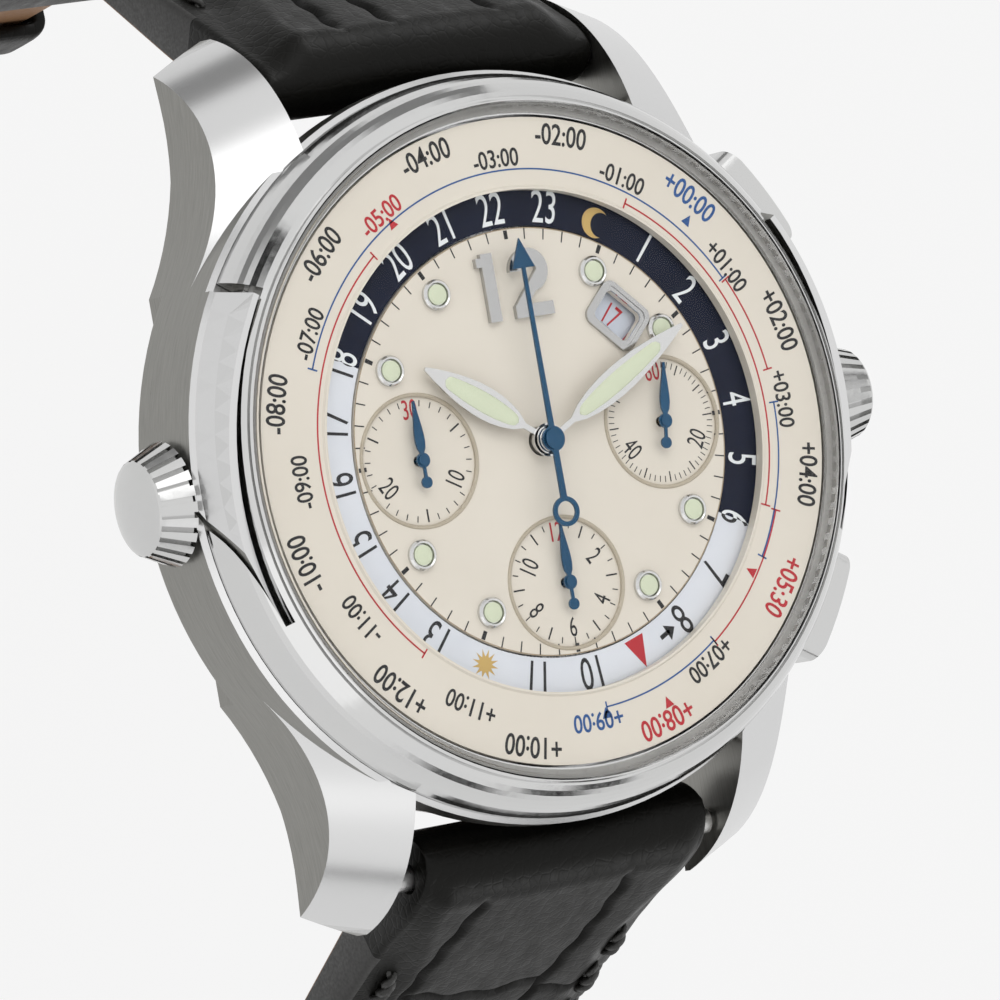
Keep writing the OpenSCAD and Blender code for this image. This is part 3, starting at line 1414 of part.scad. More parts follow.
module buckle_tang() {
    rise = buckle_rod / 2 + 0.1;
    color("silver") on_buckle_half(bar_s) difference() {
        union() {
            cross_rod(buckle_bar_d + 1.2, tang_w);
            translate([-tang_w / 2, 0, 0]) rotate([90, 0, 90]) linear_extrude(tang_w) polygon([
                [0, -0.2], [0, 0.9], [2.2, rise + 1.0], [buckle_l - 0.6, rise + 0.9],
                [buckle_l - 0.2, rise + 0.2], [buckle_l - 0.4, rise + 0.06], [2.6, rise + 0.06]
            ]);
        }
        cross_rod(buckle_bar_d + 2 * run, 10);
    }
}

// A leather loop round the strap with room above for the strap's tip
module keeper_loop(w) {
    in_w = w + 2 * keeper_play;
    low = -strap_t / 2 - keeper_play;
    high = strap_t / 2 + tip_room;
    rotate([90, 0, 0]) translate([0, 0, -keeper_w / 2]) linear_extrude(keeper_w) difference() {
        translate([0, (low + high) / 2]) rounded_bar_2d(in_w + 2 * keeper_t, high - low + 2 * keeper_t, 0.9);
        translate([-in_w / 2, low]) square([in_w, high - low]);
    }
}

module fixed_keeper() {
    color([0.13, 0.12, 0.11]) on_buckle_half(bar_s - fixed_keeper_s) keeper_loop(strap_end_w + 0.5);
}

module sliding_keeper() {
    color([0.13, 0.12, 0.11]) on_buckle_half(bar_s - sliding_keeper_s) keeper_loop(strap_end_w + 1.3);
}

case_middle();
bezel();
crystal();
crystal_gasket();
caseback_ring();
caseback_crystal();
caseback_screws();
caseback_gasket();
movement_holder();
mainplate();
chronograph_module();
barrel_bridge();
train_bridge();
balance_cock();
jewels();
bridge_screws();
barrel();
centre_wheel();
third_wheel();
fourth_wheel();
escape_wheel();
pallet_fork();
balance_wheel();
hairspring();
winding_rotor();
dial();
small_dial_rims();
lume_cups();
lume_dots();
applied_twelve();
date_frame();
date_disc();
day_night_ring();
zone_ring();
hour_hand();
minute_hand();
chronograph_hand();
seconds_hand();
minute_counter_hand();
hour_counter_hand();
winding_crown();
winding_stem();
winding_pinion();
zone_crown();
zone_stem();
zone_idler();
crown_tubes();
pusher_start();
pusher_reset();
spring_bars();
strap_buckle_half();
strap_hole_half();
buckle_frame();
buckle_bar();
buckle_tang();
fixed_keeper();
sliding_keeper();
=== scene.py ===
# %% [markdown]
# # A world-time chronograph wristwatch
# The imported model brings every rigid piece: case, bezel, hands, rings and movement. This script adds what
# a machinist's model lacks: the prints on dial and rings, the leather strap with its grain and thread, and
# the finish of each metal. All of it stands in the model's own frame, in metres. The prints and the leather
# are written in millimetres and multiplied by MM at the end.

# %% Load the frame
import math

import json

import bpy
import numpy as np
from mathutils import Matrix, Vector


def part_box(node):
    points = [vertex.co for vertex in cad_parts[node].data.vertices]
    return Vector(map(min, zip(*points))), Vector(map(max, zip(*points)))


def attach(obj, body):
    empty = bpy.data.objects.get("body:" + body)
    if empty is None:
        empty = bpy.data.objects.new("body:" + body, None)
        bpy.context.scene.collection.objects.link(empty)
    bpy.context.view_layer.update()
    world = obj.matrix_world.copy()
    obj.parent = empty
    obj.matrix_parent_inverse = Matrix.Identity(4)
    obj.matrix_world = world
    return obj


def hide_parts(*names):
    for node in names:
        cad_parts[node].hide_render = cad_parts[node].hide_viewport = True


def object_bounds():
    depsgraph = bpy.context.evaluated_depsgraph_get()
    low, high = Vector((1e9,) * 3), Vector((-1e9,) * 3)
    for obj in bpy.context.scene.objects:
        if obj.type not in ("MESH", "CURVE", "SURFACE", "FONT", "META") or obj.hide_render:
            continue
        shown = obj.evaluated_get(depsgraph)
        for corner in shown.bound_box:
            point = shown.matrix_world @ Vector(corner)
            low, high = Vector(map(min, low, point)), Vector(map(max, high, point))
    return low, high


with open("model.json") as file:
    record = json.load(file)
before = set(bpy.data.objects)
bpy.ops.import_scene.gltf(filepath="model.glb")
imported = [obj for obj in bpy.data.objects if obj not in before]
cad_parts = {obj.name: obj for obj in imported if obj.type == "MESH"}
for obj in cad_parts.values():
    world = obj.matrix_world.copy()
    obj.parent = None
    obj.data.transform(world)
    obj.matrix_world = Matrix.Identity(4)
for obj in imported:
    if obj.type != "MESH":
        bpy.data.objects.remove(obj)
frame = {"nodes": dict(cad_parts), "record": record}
cad_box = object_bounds()
MM = 0.001
NODES = frame["nodes"]
scene = bpy.context.scene
print("nodes", len(NODES), "box in mm", [[round(v / MM, 1) for v in corner] for corner in cad_box])

# %% [markdown]
# ## Tools
# Each surface is a small tree of nodes, and each soft piece a grid of points. One class wires the nodes, and
# a few functions turn arrays of points and faces into meshes.

# %% Node helpers
def grey(v):
    return (v, v, v, 1.0)


class Wiring:
    """Adds nodes to one tree and links them by name."""

    def __init__(self, tree):
        self.tree = tree

    def feed(self, node, **inputs):
        """Links or sets inputs of a node. Base_Color stands for the input Base Color, and i1 for input 1."""
        for key, value in inputs.items():
            numbered = key[0] == "i" and key[1:].isdigit()
            socket = node.inputs[int(key[1:]) if numbered else key.replace("_", " ")]
            if isinstance(value, bpy.types.NodeSocket):
                self.tree.links.new(value, socket)
            else:
                socket.default_value = value
        return node

    def add(self, kind, settings=None, **inputs):
        node = self.tree.nodes.new(kind)
        for key, value in (settings or {}).items():
            setattr(node, key, value)
        return self.feed(node, **inputs)

    def math(self, operation, a, b=0.0, clamp=False):
        settings = {"operation": operation, "use_clamp": clamp}
        return self.add("ShaderNodeMath", settings, i0=a, i1=b).outputs[0]

    def vector(self, operation, a, b=(0, 0, 0)):
        """A step with vectors. A length or a dot product comes out as a number."""
        node = self.add("ShaderNodeVectorMath", {"operation": operation}, i0=a, i1=b)
        return node.outputs["Value" if operation in ("LENGTH", "DOT_PRODUCT") else "Vector"]

    def ramp(self, value, low, high, to_low=0.0, to_high=1.0):
        """value from low..high, moved to to_low..to_high and kept inside."""
        return self.add("ShaderNodeMapRange", {"clamp": True}, Value=value, From_Min=low, From_Max=high,
                        To_Min=to_low, To_Max=to_high).outputs["Result"]

    def spread(self, noise, to_low=0.0, to_high=1.0):
        """Noise, which seldom leaves 0.3..0.7, moved to to_low..to_high."""
        return self.ramp(noise, 0.3, 0.7, to_low, to_high)

    def mix(self, share, a, b):
        """Colour a where share is 0, and b where it is 1."""
        return self.add("ShaderNodeMix", {"data_type": "RGBA"}, i0=share, i6=a, i7=b).outputs[2]

    def blend(self, share, a, b):
        """Shader a where share is 0, and b where it is 1."""
        return self.add("ShaderNodeMixShader", i0=share, i1=a, i2=b).outputs[0]

    def here(self):
        """The object's own coordinates in metres."""
        return self.add("ShaderNodeTexCoord").outputs["Object"]

    def mapped(self, **change):
        """The object's own coordinates, turned by Rotation or stretched by Scale."""
        return self.add("ShaderNodeMapping", Vector=self.here(), **change).outputs[0]

    def noise(self, vector, scale, detail, roughness=0.5):
        return self.add("ShaderNodeTexNoise", Vector=vector, Scale=scale, Detail=detail,
                        Roughness=roughness).outputs[0]

    def bump(self, height, distance, strength=1.0):
        return self.add("ShaderNodeBump", Height=height, Distance=distance, Strength=strength).outputs[0]


def material(name, metallic=0.0, roughness=0.5, colour=grey(0.8), **sockets):
    """A material with one Principled shader, and the wiring to add patterns to it."""
    mat = bpy.data.materials.new(name)
    mat.use_nodes = True
    w = Wiring(mat.node_tree)
    shader = w.feed(mat.node_tree.nodes["Principled BSDF"], Metallic=metallic, Roughness=roughness,
                    Base_Color=colour, **sockets)
    return mat, w, shader

# %% Mesh helpers
def put(name, data):
    """A new object for a finished mesh, curve, lamp or camera, at the origin."""
    obj = bpy.data.objects.new(name, data)
    scene.collection.objects.link(obj)
    return obj


def mesh_of(name, verts, faces, smooth=True):
    """A mesh from an (n, 3) array of points in metres and one or more arrays of faces."""
    mesh = bpy.data.meshes.new(name)
    groups = faces if isinstance(faces, list) else [faces]
    mesh.from_pydata(verts.tolist(), [], [face for part in groups for face in part.tolist()])
    mesh.polygons.foreach_set("use_smooth", [smooth] * len(mesh.polygons))
    mesh.update()
    return mesh


def facing_out(verts, faces):
    """Faces of a closed shell, turned over if its signed volume is below 0. The volume is the sum of
    a . (b x c) / 6 over all triangles."""
    groups = faces if isinstance(faces, list) else [faces]
    p = verts - verts.mean(0)
    volume = sum(np.einsum("ij,ij->", p[f[:, 0]], np.cross(p[f[:, k]], p[f[:, k + 1]]))
                 for f in groups for k in range(1, f.shape[1] - 1))
    groups = groups if volume > 0 else [f[:, ::-1] for f in groups]
    return groups if isinstance(faces, list) else groups[0]


def grid_faces(rows, cols, wrap_rows=False, wrap_cols=False):
    """Quads of a grid of rows x cols points, joined end to end where it wraps."""
    r = np.arange(rows if wrap_rows else rows - 1)[:, None]
    c = np.arange(cols if wrap_cols else cols - 1)[None, :]
    r2, c2 = (r + 1) % rows, (c + 1) % cols
    quads = np.stack([r * cols + c, r * cols + c2, r2 * cols + c2, r2 * cols + c], axis=-1)
    return quads.reshape(-1, 4)


def end_fans(rows, cols):
    """Triangles that close the first and the last ring of a grid. Each fan has a middle point of its own,
    and the two follow the grid's points."""
    k = np.arange(cols)
    after, start, middle = (k + 1) % cols, (rows - 1) * cols, 0 * k + rows * cols
    return np.stack([after, k, middle], 1), np.stack([start + k, start + after, middle + 1], 1)


def halved(quads):
    """Two triangles for each quad."""
    return np.concatenate([quads[:, [0, 1, 2]], quads[:, [0, 2, 3]]])


def joined(parts):
    """Several (points, faces) pairs as one pair."""
    points, faces, start = [], [], 0
    for p, f in parts:
        points.append(p)
        faces.append(f + start)
        start += len(p)
    return np.concatenate(points), np.concatenate(faces)


def turned(x, y, angle):
    """x and y after a turn by angle, counterclockwise."""
    return x * math.cos(angle) - y * math.sin(angle), x * math.sin(angle) + y * math.cos(angle)

# %% [markdown]
# ## The camera
# A product photographer stands well back with a long lens, so that circles stay near to true ellipses. The
# camera's place is written from the middle of the dial, in millimetres.

# %% Camera
DIAL_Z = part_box("dial")[1][2]
DIAL_MIDDLE = Vector((0, 0, DIAL_Z))
CAMERA_FROM_DIAL = Vector((-238.9, -8.9, 391.4)) * MM
CAMERA_RIGHT = Vector((0.845, -0.173, 0.506))
CAMERA_UP = Vector((0.141, 0.985, 0.100))
CAMERA_LENS = 292.6


def aim_camera(name, place, right, up, lens):
    """A camera at place: its X axis is right, its Y axis is up squared to right, and it looks along -Z."""
    data = bpy.data.cameras.new(name)
    data.lens = lens
    data.sensor_width = 36
    data.clip_start = 0.01
    data.clip_end = 20
    camera = put(name, data)
    right = right.normalized()
    back = right.cross(up).normalized()
    turn = Matrix((right, back.cross(right), back)).transposed().to_4x4()
    camera.matrix_world = Matrix.Translation(place) @ turn
    return camera


scene.camera = aim_camera("camera", DIAL_MIDDLE + CAMERA_FROM_DIAL, CAMERA_RIGHT, CAMERA_UP, CAMERA_LENS)
print("camera stands", round(CAMERA_FROM_DIAL.length, 3), "m from the dial")

# %% [markdown]
# ## Light and floor
# Polished steel has no colour of its own: it shows what stands round it. A pale room makes it white, and a
# few dark cards beside the watch draw the grey and black bands that give a bezel its round form.

# %% World and lamps
scene.view_settings.view_transform = "Standard"
ROOM_LIGHT, ROOM_SEEN = 0.38, 1.0


def seen_ray(w):
    """1 for a ray from the camera, a reflection or glass, and 0 for light that falls on things."""
    path = w.add("ShaderNodeLightPath").outputs
    either = w.math("MAXIMUM", path["Is Camera Ray"], path["Is Glossy Ray"])
    return w.math("MAXIMUM", either, path["Is Transmission Ray"])


def pale_world():
    """White where it is seen, and a plain soft light of its own where it falls on things."""
    world = bpy.data.worlds.new("pale_room")
    world.use_nodes = True
    scene.world = world
    world.node_tree.nodes.clear()
    w = Wiring(world.node_tree)
    light, seen = (w.add("ShaderNodeBackground", Color=grey(1.0), Strength=strength).outputs[0]
                   for strength in (ROOM_LIGHT, ROOM_SEEN))
    w.add("ShaderNodeOutputWorld", Surface=w.blend(seen_ray(w), light, seen))


def facing_dial(direction, distance):
    """The place that far off in that direction, turned to the dial."""
    toward = Vector(direction).normalized()
    turn = toward.to_track_quat("Z", "Y").to_matrix().to_4x4()
    return Matrix.Translation(DIAL_MIDDLE + toward * distance) @ turn


pale_world()
for lamp_name, direction, distance, size, watts in (
    ("window", (-0.25, 0.75, 0.9), 0.9, 0.7, 1.25),
    ("fill", (-0.9, -0.7, 0.6), 1.1, 0.8, 0.6),
    ("strap_glow", (0.5, 0.83, 0.25), 0.6, 0.30, 0.7),
    ("strap_glow_low", (0.5, -0.83, 0.27), 0.6, 0.30, 0.7),
):
    lamp = bpy.data.lights.new(lamp_name, "AREA")
    lamp.size, lamp.energy = size, watts
    put(lamp_name, lamp).matrix_world = facing_dial(direction, distance)
print("lamps", len(bpy.data.lights))

# %% [markdown]
# The floor is a sheet of pale paper that runs far past the watch. The cards stand beside it and are seen in
# reflections only: four black ones, and a grey one behind the lugs at 12 o'clock.

# %% Floor and cards
FLOOR_Z = cad_box[0][2]
FLOOR_SIZE, FLOOR_GAP = 5.0, 0.0005


def stage_material(name, tone, glow):
    """A plain stage surface, with glow of it lit by itself where it is seen."""
    mat, w, base = material(name, roughness=0.9, colour=grey(tone))
    shine = w.add("ShaderNodeEmission", Color=grey(tone)).outputs[0]
    share = w.math("MULTIPLY", seen_ray(w), glow)
    w.feed(mat.node_tree.nodes["Material Output"], Surface=w.blend(share, base.outputs[0], shine))
    return mat


def sheet(name, width, height, place, mat):
    """A flat rectangle of the stage, put in its place by a matrix."""
    y, x = np.meshgrid([-height / 2, height / 2], [-width / 2, width / 2], indexing="ij")
    points = np.stack([x, y, 0 * x], -1).reshape(-1, 3)
    obj = put(name, mesh_of(name, points, grid_faces(2, 2), smooth=False))
    obj.data.transform(place)
    obj.data.materials.append(mat)
    return obj


sheet("floor", FLOOR_SIZE, FLOOR_SIZE, Matrix.Translation((0, 0, FLOOR_Z - FLOOR_GAP)),
      stage_material("floor_paper", 0.99, 0.86))
CARD_BLACK, CARD_GREY = stage_material("card_black", 0.012, 0.0), stage_material("card_grey", 0.62, 0.0)
for card_name, toward, distance, width, height, card_mat in (
    ("card_upper_left", (-0.53, 0.81, 0.20), 0.5, 0.15, 0.12, CARD_BLACK),
    ("card_left", (-0.80, -0.45, -0.35), 0.5, 0.22, 0.08, CARD_BLACK),
    ("card_low", (0.15, -0.97, 0.02), 0.5, 0.5, 0.05, CARD_BLACK),
    ("card_right", (0.97, 0.1, 0.22), 0.6, 0.4, 0.12, CARD_BLACK),
    ("card_back", (-0.08, 0.97, -0.22), 0.25, 0.34, 0.09, CARD_GREY),
):
    card = sheet(card_name, width, height, facing_dial(toward, distance), card_mat)
    card.visible_camera = card.visible_diffuse = card.visible_shadow = card.visible_transmission = False

# %% [markdown]
# ## Finishes
# A metal's finish is its roughness: a polished bevel mirrors the room, a brushed flank has thousands of
# parallel scratches. The patterns that several finishes share are node groups that put out a mask or a
# value, and each material feeds them to its own shader.

# %% Shared patterns
def new_group(name, ins, outs):
    """An empty node group with named inputs and outputs, and its wiring."""
    tree = bpy.data.node_groups.new(name, "ShaderNodeTree")
    for socket, value in ins.items():
        kind = "NodeSocketVector" if isinstance(value, tuple) else "NodeSocketFloat"
        tree.interface.new_socket(socket, in_out="INPUT", socket_type=kind).default_value = value
    for socket in outs:
        tree.interface.new_socket(socket, in_out="OUTPUT", socket_type="NodeSocketFloat")
    w = Wiring(tree)
    return w, w.add("NodeGroupInput").outputs, w.add("NodeGroupOutput")


def make_brushing():
    """Fine scratches: noise drawn out along the axis with the small stretch."""
    w, given, out = new_group("brushing", {"Stretch": (4000, 4000, 120), "Seed": 0.0},
                              ("Scratches", "Clouds"))
    coords = w.here()
    fine = w.add("ShaderNodeTexNoise", {"noise_dimensions": "4D"}, W=given["Seed"], Scale=1.0, Detail=4.0,
                 Roughness=0.7, Vector=w.vector("MULTIPLY", coords, given["Stretch"]))
    w.feed(out, Scratches=fine.outputs[0], Clouds=w.noise(coords, 160.0, 2.0))
    return w.tree


def make_rings():
    """Turned rings: distance from an axis parallel to Z through a centre, in waves of one pitch."""
    w, given, out = new_group("turned_rings", {"Centre": (0, 0, 0), "Pitch": 0.0001, "Radius": 1.0},
                              ("Rings", "Inside"))
    away = w.vector("SUBTRACT", w.here(), given["Centre"])
    distance = w.vector("LENGTH", w.vector("MULTIPLY", away, (1, 1, 0)))
    wave = w.math("SINE", w.math("MULTIPLY", w.math("DIVIDE", distance, given["Pitch"]), 2 * math.pi))
    w.feed(out, Rings=w.ramp(wave, -1, 1), Inside=w.math("LESS_THAN", distance, given["Radius"]))
    return w.tree


def make_variation():
    """Fine specks and faint clouds that keep a plain surface from looking even."""
    w, given, out = new_group("fine_variation", {"Size": 0.0005}, ("Clouds", "Specks"))
    scaled = w.add("ShaderNodeVectorMath", {"operation": "SCALE"}, i0=w.here(),
                   Scale=w.math("DIVIDE", 1.0, given["Size"])).outputs[0]
    w.feed(out, Clouds=w.noise(scaled, 0.15, 3.0), Specks=w.noise(scaled, 2.0, 2.0))
    return w.tree


BRUSHING, RINGS, VARIATION = make_brushing(), make_rings(), make_variation()


def pattern(w, tree, **inputs):
    """What one shared pattern puts out in this material."""
    return tuple(w.add("ShaderNodeGroup", {"node_tree": tree}, **inputs).outputs)


def clouded(name, size, dark, pale, rough, relief=None, **sockets):
    """Faint clouds from dark to pale, and a gloss that changes from speck to speck."""
    mat, w, shader = material(name, **sockets)
    clouds, specks = pattern(w, VARIATION, Size=size)
    w.feed(shader, Base_Color=w.mix(clouds, dark, pale), Roughness=w.spread(specks, *rough))
    if relief:
        w.feed(shader, Normal=w.bump(clouds, relief))
    return mat


def scratched(name, stretch, seed, dark, pale, rough, metallic=1.0):
    """A metal whose colour and gloss follow its scratches."""
    mat, w, shader = material(name, metallic=metallic)
    scratches, _ = pattern(w, BRUSHING, Stretch=stretch, Seed=seed)
    w.feed(shader, Base_Color=w.mix(scratches, dark, pale), Roughness=w.spread(scratches, *rough))
    return mat

# %% [markdown]
# A case is rubbed along its band and polished on its bevels, so its material tells the flanks from the top
# by how far each face looks up, and paints the flanks in a darker tone as painted shade. The scratches live
# in the gloss and in a shallow bump, because cut for real they would be finer than any mesh.

# %% Steels
def polished_steel(name, tone, roughness):
    """Mirror steel with hairlines so fine that they only soften its reflections."""
    mat, w, shader = material(name, metallic=1.0)
    scratches, clouds = pattern(w, BRUSHING, Stretch=(2500, 2500, 900), Seed=1.0)
    w.feed(shader, Roughness=w.spread(scratches, roughness * 0.7, roughness * 1.5),
           Base_Color=w.mix(clouds, grey(tone * 0.97), (tone, tone, tone * 0.985, 1)))
    return mat


def brushed_steel(name, stretch, tone, depth):
    """Steel rubbed along one axis: the axis with the small stretch."""
    mat, w, shader = material(name, metallic=1.0)
    scratches, _ = pattern(w, BRUSHING, Stretch=stretch, Seed=3.0)
    w.feed(shader, Roughness=w.ramp(scratches, 0.25, 0.75, 0.22, 0.42), Normal=w.bump(scratches, depth),
           Base_Color=w.mix(scratches, grey(tone * 0.86), (tone, tone * 0.99, tone * 0.97, 1)))
    return mat


def case_steel():
    """The case: flanks rubbed along the band, tops satin polished, told apart by how far a face looks up;
    the flanks are painted darker, as painted shade.
    """
    mat, w, shader = material("case_steel", metallic=1.0)
    rubbed, _ = pattern(w, BRUSHING, Stretch=(520, 520, 9000), Seed=5.0)
    satin, _ = pattern(w, BRUSHING, Stretch=(9000, 1200, 9000), Seed=7.0)
    to_object = {"vector_type": "NORMAL", "convert_from": "WORLD", "convert_to": "OBJECT"}
    normal = w.add("ShaderNodeVectorTransform", to_object,
                   Vector=w.add("ShaderNodeNewGeometry").outputs["True Normal"]).outputs[0]
    top = w.ramp(w.add("ShaderNodeSeparateXYZ", Vector=normal).outputs["Z"], 0.22, 0.30)
    rough = w.add("ShaderNodeMix", {"data_type": "FLOAT"}, i0=top, i2=w.ramp(rubbed, 0.25, 0.75, 0.26, 0.48),
                  i3=w.ramp(satin, 0.25, 0.75, 0.21, 0.26)).outputs[0]
    # painted shade: faces that look sideways get a steel tone far darker than the tops
    shaded_flank = w.mix(w.spread(rubbed), (0.215, 0.212, 0.197, 1), (0.325, 0.320, 0.300, 1))
    height = w.math("MULTIPLY", w.math("SUBTRACT", 1.0, top), rubbed)
    w.feed(shader, Base_Color=w.mix(top, shaded_flank, grey(0.68)), Roughness=rough,
           Normal=w.bump(height, 0.0000025))
    return mat


def striped_steel():
    """Movement plates: broad stripes milled with a tilted tool, each a shallow ramp, over fine scratches."""
    mat, w, shader = material("striped_steel", metallic=1.0)
    form = {"wave_type": "BANDS", "bands_direction": "X", "wave_profile": "SAW"}
    across = w.mapped(Rotation=(0, 0, math.radians(20)))
    stripes = w.add("ShaderNodeTexWave", form, Vector=across, Scale=90.0, Distortion=0.0).outputs["Fac"]
    scratches, _ = pattern(w, BRUSHING, Stretch=(3000, 3000, 3000), Seed=9.0)
    w.feed(shader, Base_Color=w.mix(stripes, grey(0.55), (0.78, 0.78, 0.77, 1)),
           Roughness=w.spread(scratches, 0.16, 0.30), Normal=w.bump(stripes, 0.00002))
    return mat


def grained_steel():
    """Plates under the bridges: overlapping small circles, a cell pattern read as rings round each point."""
    mat, w, shader = material("grained_steel", metallic=1.0)
    cells = w.add("ShaderNodeTexVoronoi", {"feature": "F1"}, Vector=w.here(), Scale=900.0)
    away = cells.outputs["Distance"]
    rings = w.math("SINE", w.math("MULTIPLY", away, 40.0))
    w.feed(shader, Base_Color=w.mix(away, grey(0.74), grey(0.56)), Roughness=w.ramp(rings, -1, 1, 0.2, 0.34),
           Normal=w.bump(rings, 0.000006))
    return mat

# %% [markdown]
# The crystal is clear and coated, so it hardly mirrors. The lume is a pale green paste that has dried a
# little rough, and ink lies on its ground as a thin skin. All three are nearly even, with a few specks.

# %% Glass and lume
GLASS_IOR = 1.12


def clear_glass(name, tint):
    """Clear glass that lets lamps shine through: a shadow ray passes as through a hole. It bends light less
    than real glass, so that the dial shows in its true place."""
    mat, w, shader = material(name, roughness=0.0, colour=tint, Transmission_Weight=1.0, IOR=GLASS_IOR)
    clouds, _ = pattern(w, VARIATION, Size=0.004)
    w.feed(shader, Roughness=w.ramp(clouds, 0.2, 0.8, 0.0, 0.004))
    hole = w.add("ShaderNodeBsdfTransparent", Color=tint).outputs[0]
    shadow = w.add("ShaderNodeLightPath").outputs["Is Shadow Ray"]
    w.feed(mat.node_tree.nodes["Material Output"], Surface=w.blend(shadow, shader.outputs[0], hole))
    return mat


def lume_paint():
    """Pale green paste, faintly grainy."""
    mat, w, shader = material("lume_paint")
    _, specks = pattern(w, VARIATION, Size=0.00012)
    w.feed(shader, Base_Color=w.mix(specks, (0.60, 0.66, 0.47, 1), (0.73, 0.78, 0.60, 1)),
           Roughness=w.spread(specks, 0.45, 0.65), Normal=w.bump(specks, 0.00001))
    return mat


def ink(name, dark, pale, rough=(0.35, 0.5)):
    """Printed ink: one colour with slight clouds, a little glossier than the ground."""
    return clouded(name, 0.0003, dark, pale, rough)


print("patterns", [tree.name for tree in bpy.data.node_groups])

# %% [markdown]
# ## Dial finishes
# The cream ground is sprayed lacquer, almost even. The three small dials are cut a little deeper and turned
# on a lathe, which leaves rings that catch the light like a record.

# %% Dial and ring lacquers
RIM_BOX, RIM_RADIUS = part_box("small_dial_rims"), 0.00384
SMALL_DIAL_DISTANCE = (RIM_BOX[1][0] - RIM_BOX[0][0]) / 2 - RIM_RADIUS
SMALL_DIAL_PLACES = {"three": (1, 0), "nine": (-1, 0), "six": (0, -1)}
SMALL_DIAL_RADIUS, SMALL_DIAL_PITCH = 0.00362, 0.00007
CREAM_LOW, CREAM_HIGH = (0.70, 0.645, 0.555, 1), (0.76, 0.71, 0.62, 1)
MIDNIGHT_ANGLE = math.radians(27.3)
print("small dials stand", round(SMALL_DIAL_DISTANCE / MM, 2), "mm from the centre")


def dial_lacquer():
    """Cream lacquer, with turned rings only inside the three small dials."""
    mat, w, shader = material("dial_lacquer", Coat_Weight=0.15, Coat_Roughness=0.2)
    clouds, _ = pattern(w, VARIATION, Size=0.0008)
    height, inside = None, None
    for x, y in SMALL_DIAL_PLACES.values():
        rings, within = pattern(w, RINGS, Centre=(x * SMALL_DIAL_DISTANCE, y * SMALL_DIAL_DISTANCE, 0),
                                Pitch=SMALL_DIAL_PITCH, Radius=SMALL_DIAL_RADIUS)
        masked = w.math("MULTIPLY", rings, within)
        height = masked if height is None else w.math("ADD", height, masked)
        inside = within if inside is None else w.math("ADD", inside, within)
    ground = w.mix(clouds, CREAM_LOW, CREAM_HIGH)
    w.feed(shader, Base_Color=w.mix(w.math("MULTIPLY", height, 0.15), ground, (0.66, 0.60, 0.51, 1)),
           Roughness=w.ramp(inside, 0, 1, 0.42, 0.34), Normal=w.bump(height, 0.000003))
    return mat


def night_side(w):
    """1 where a point lies on midnight's side of the ring's middle: its dot product with midnight's
    direction is above 0."""
    midnight = (math.sin(MIDNIGHT_ANGLE), math.cos(MIDNIGHT_ANGLE), 0)
    return w.math("GREATER_THAN", w.vector("DOT_PRODUCT", w.here(), midnight), 0.0)


def day_night_lacquer():
    """Half the ring is dark blue lacquer, the other half silver."""
    mat, w, shader = material("day_night_lacquer", Specular_IOR_Level=0.12)
    night = night_side(w)
    clouds, specks = pattern(w, VARIATION, Size=0.0006)
    dark = w.mix(clouds, (0.006, 0.008, 0.020, 1), (0.012, 0.016, 0.034, 1))
    pale = w.mix(clouds, (0.66, 0.69, 0.74, 1), (0.78, 0.80, 0.84, 1))
    w.feed(shader, Base_Color=w.mix(night, pale, dark), Roughness=w.spread(specks, 0.30, 0.42),
           Metallic=w.math("MULTIPLY", w.math("SUBTRACT", 1.0, night), 0.25))
    return mat

# %% [markdown]
# Each node of the model gets the finish of its own name, or else that of its material. Blued steel is steel
# heated until its skin turns blue, wheels are gilt brass with a turned grain, and the crystal sits in a pale
# ring of nylon.

# %% Finish of each node
GRAINED, SOFT_POLISH = grained_steel(), polished_steel("soft_polish", tone=0.62, roughness=0.17)
APPLIED = polished_steel("applied_polish", tone=0.50, roughness=0.12)
RUBBER = clouded("gasket_rubber", 0.0002, grey(0.02), grey(0.05), (0.5, 0.7))
FINISHES = {
    "case_middle": case_steel(),
    "bezel": polished_steel("bezel_polish", tone=0.64, roughness=0.11),
    "crystal": clear_glass("crystal_glass", (1, 1, 1, 1)),
    "caseback_crystal": clear_glass("back_glass", (0.98, 1, 1, 1)),
    "crystal_gasket": clouded("seat_nylon", 0.0005, (0.30, 0.295, 0.28, 1), (0.42, 0.41, 0.39, 1),
                              (0.25, 0.4)),
    "dial": dial_lacquer(),
    "zone_ring": clouded("zone_lacquer", 0.0012, CREAM_LOW, CREAM_HIGH, (0.40, 0.50), Coat_Weight=0.12,
                         Coat_Roughness=0.25),
    "day_night_ring": day_night_lacquer(),
    "date_disc": scratched("date_silver", (2500, 2500, 2500), 15.0, (0.50, 0.54, 0.62, 1),
                           (0.64, 0.68, 0.75, 1), (0.3, 0.42), metallic=0.35),
    "lume_dots": lume_paint(),
    "small_dial_rims": ink("rim_bronze", (0.40, 0.345, 0.26, 1), (0.52, 0.46, 0.36, 1), (0.25, 0.4)),
    **dict.fromkeys(("mainplate", "chronograph_module", "movement_holder"), GRAINED),
    **dict.fromkeys(("applied_twelve", "date_frame"), APPLIED),
    **dict.fromkeys(("winding_crown", "zone_crown", "pusher_start", "pusher_reset"), SOFT_POLISH),
}
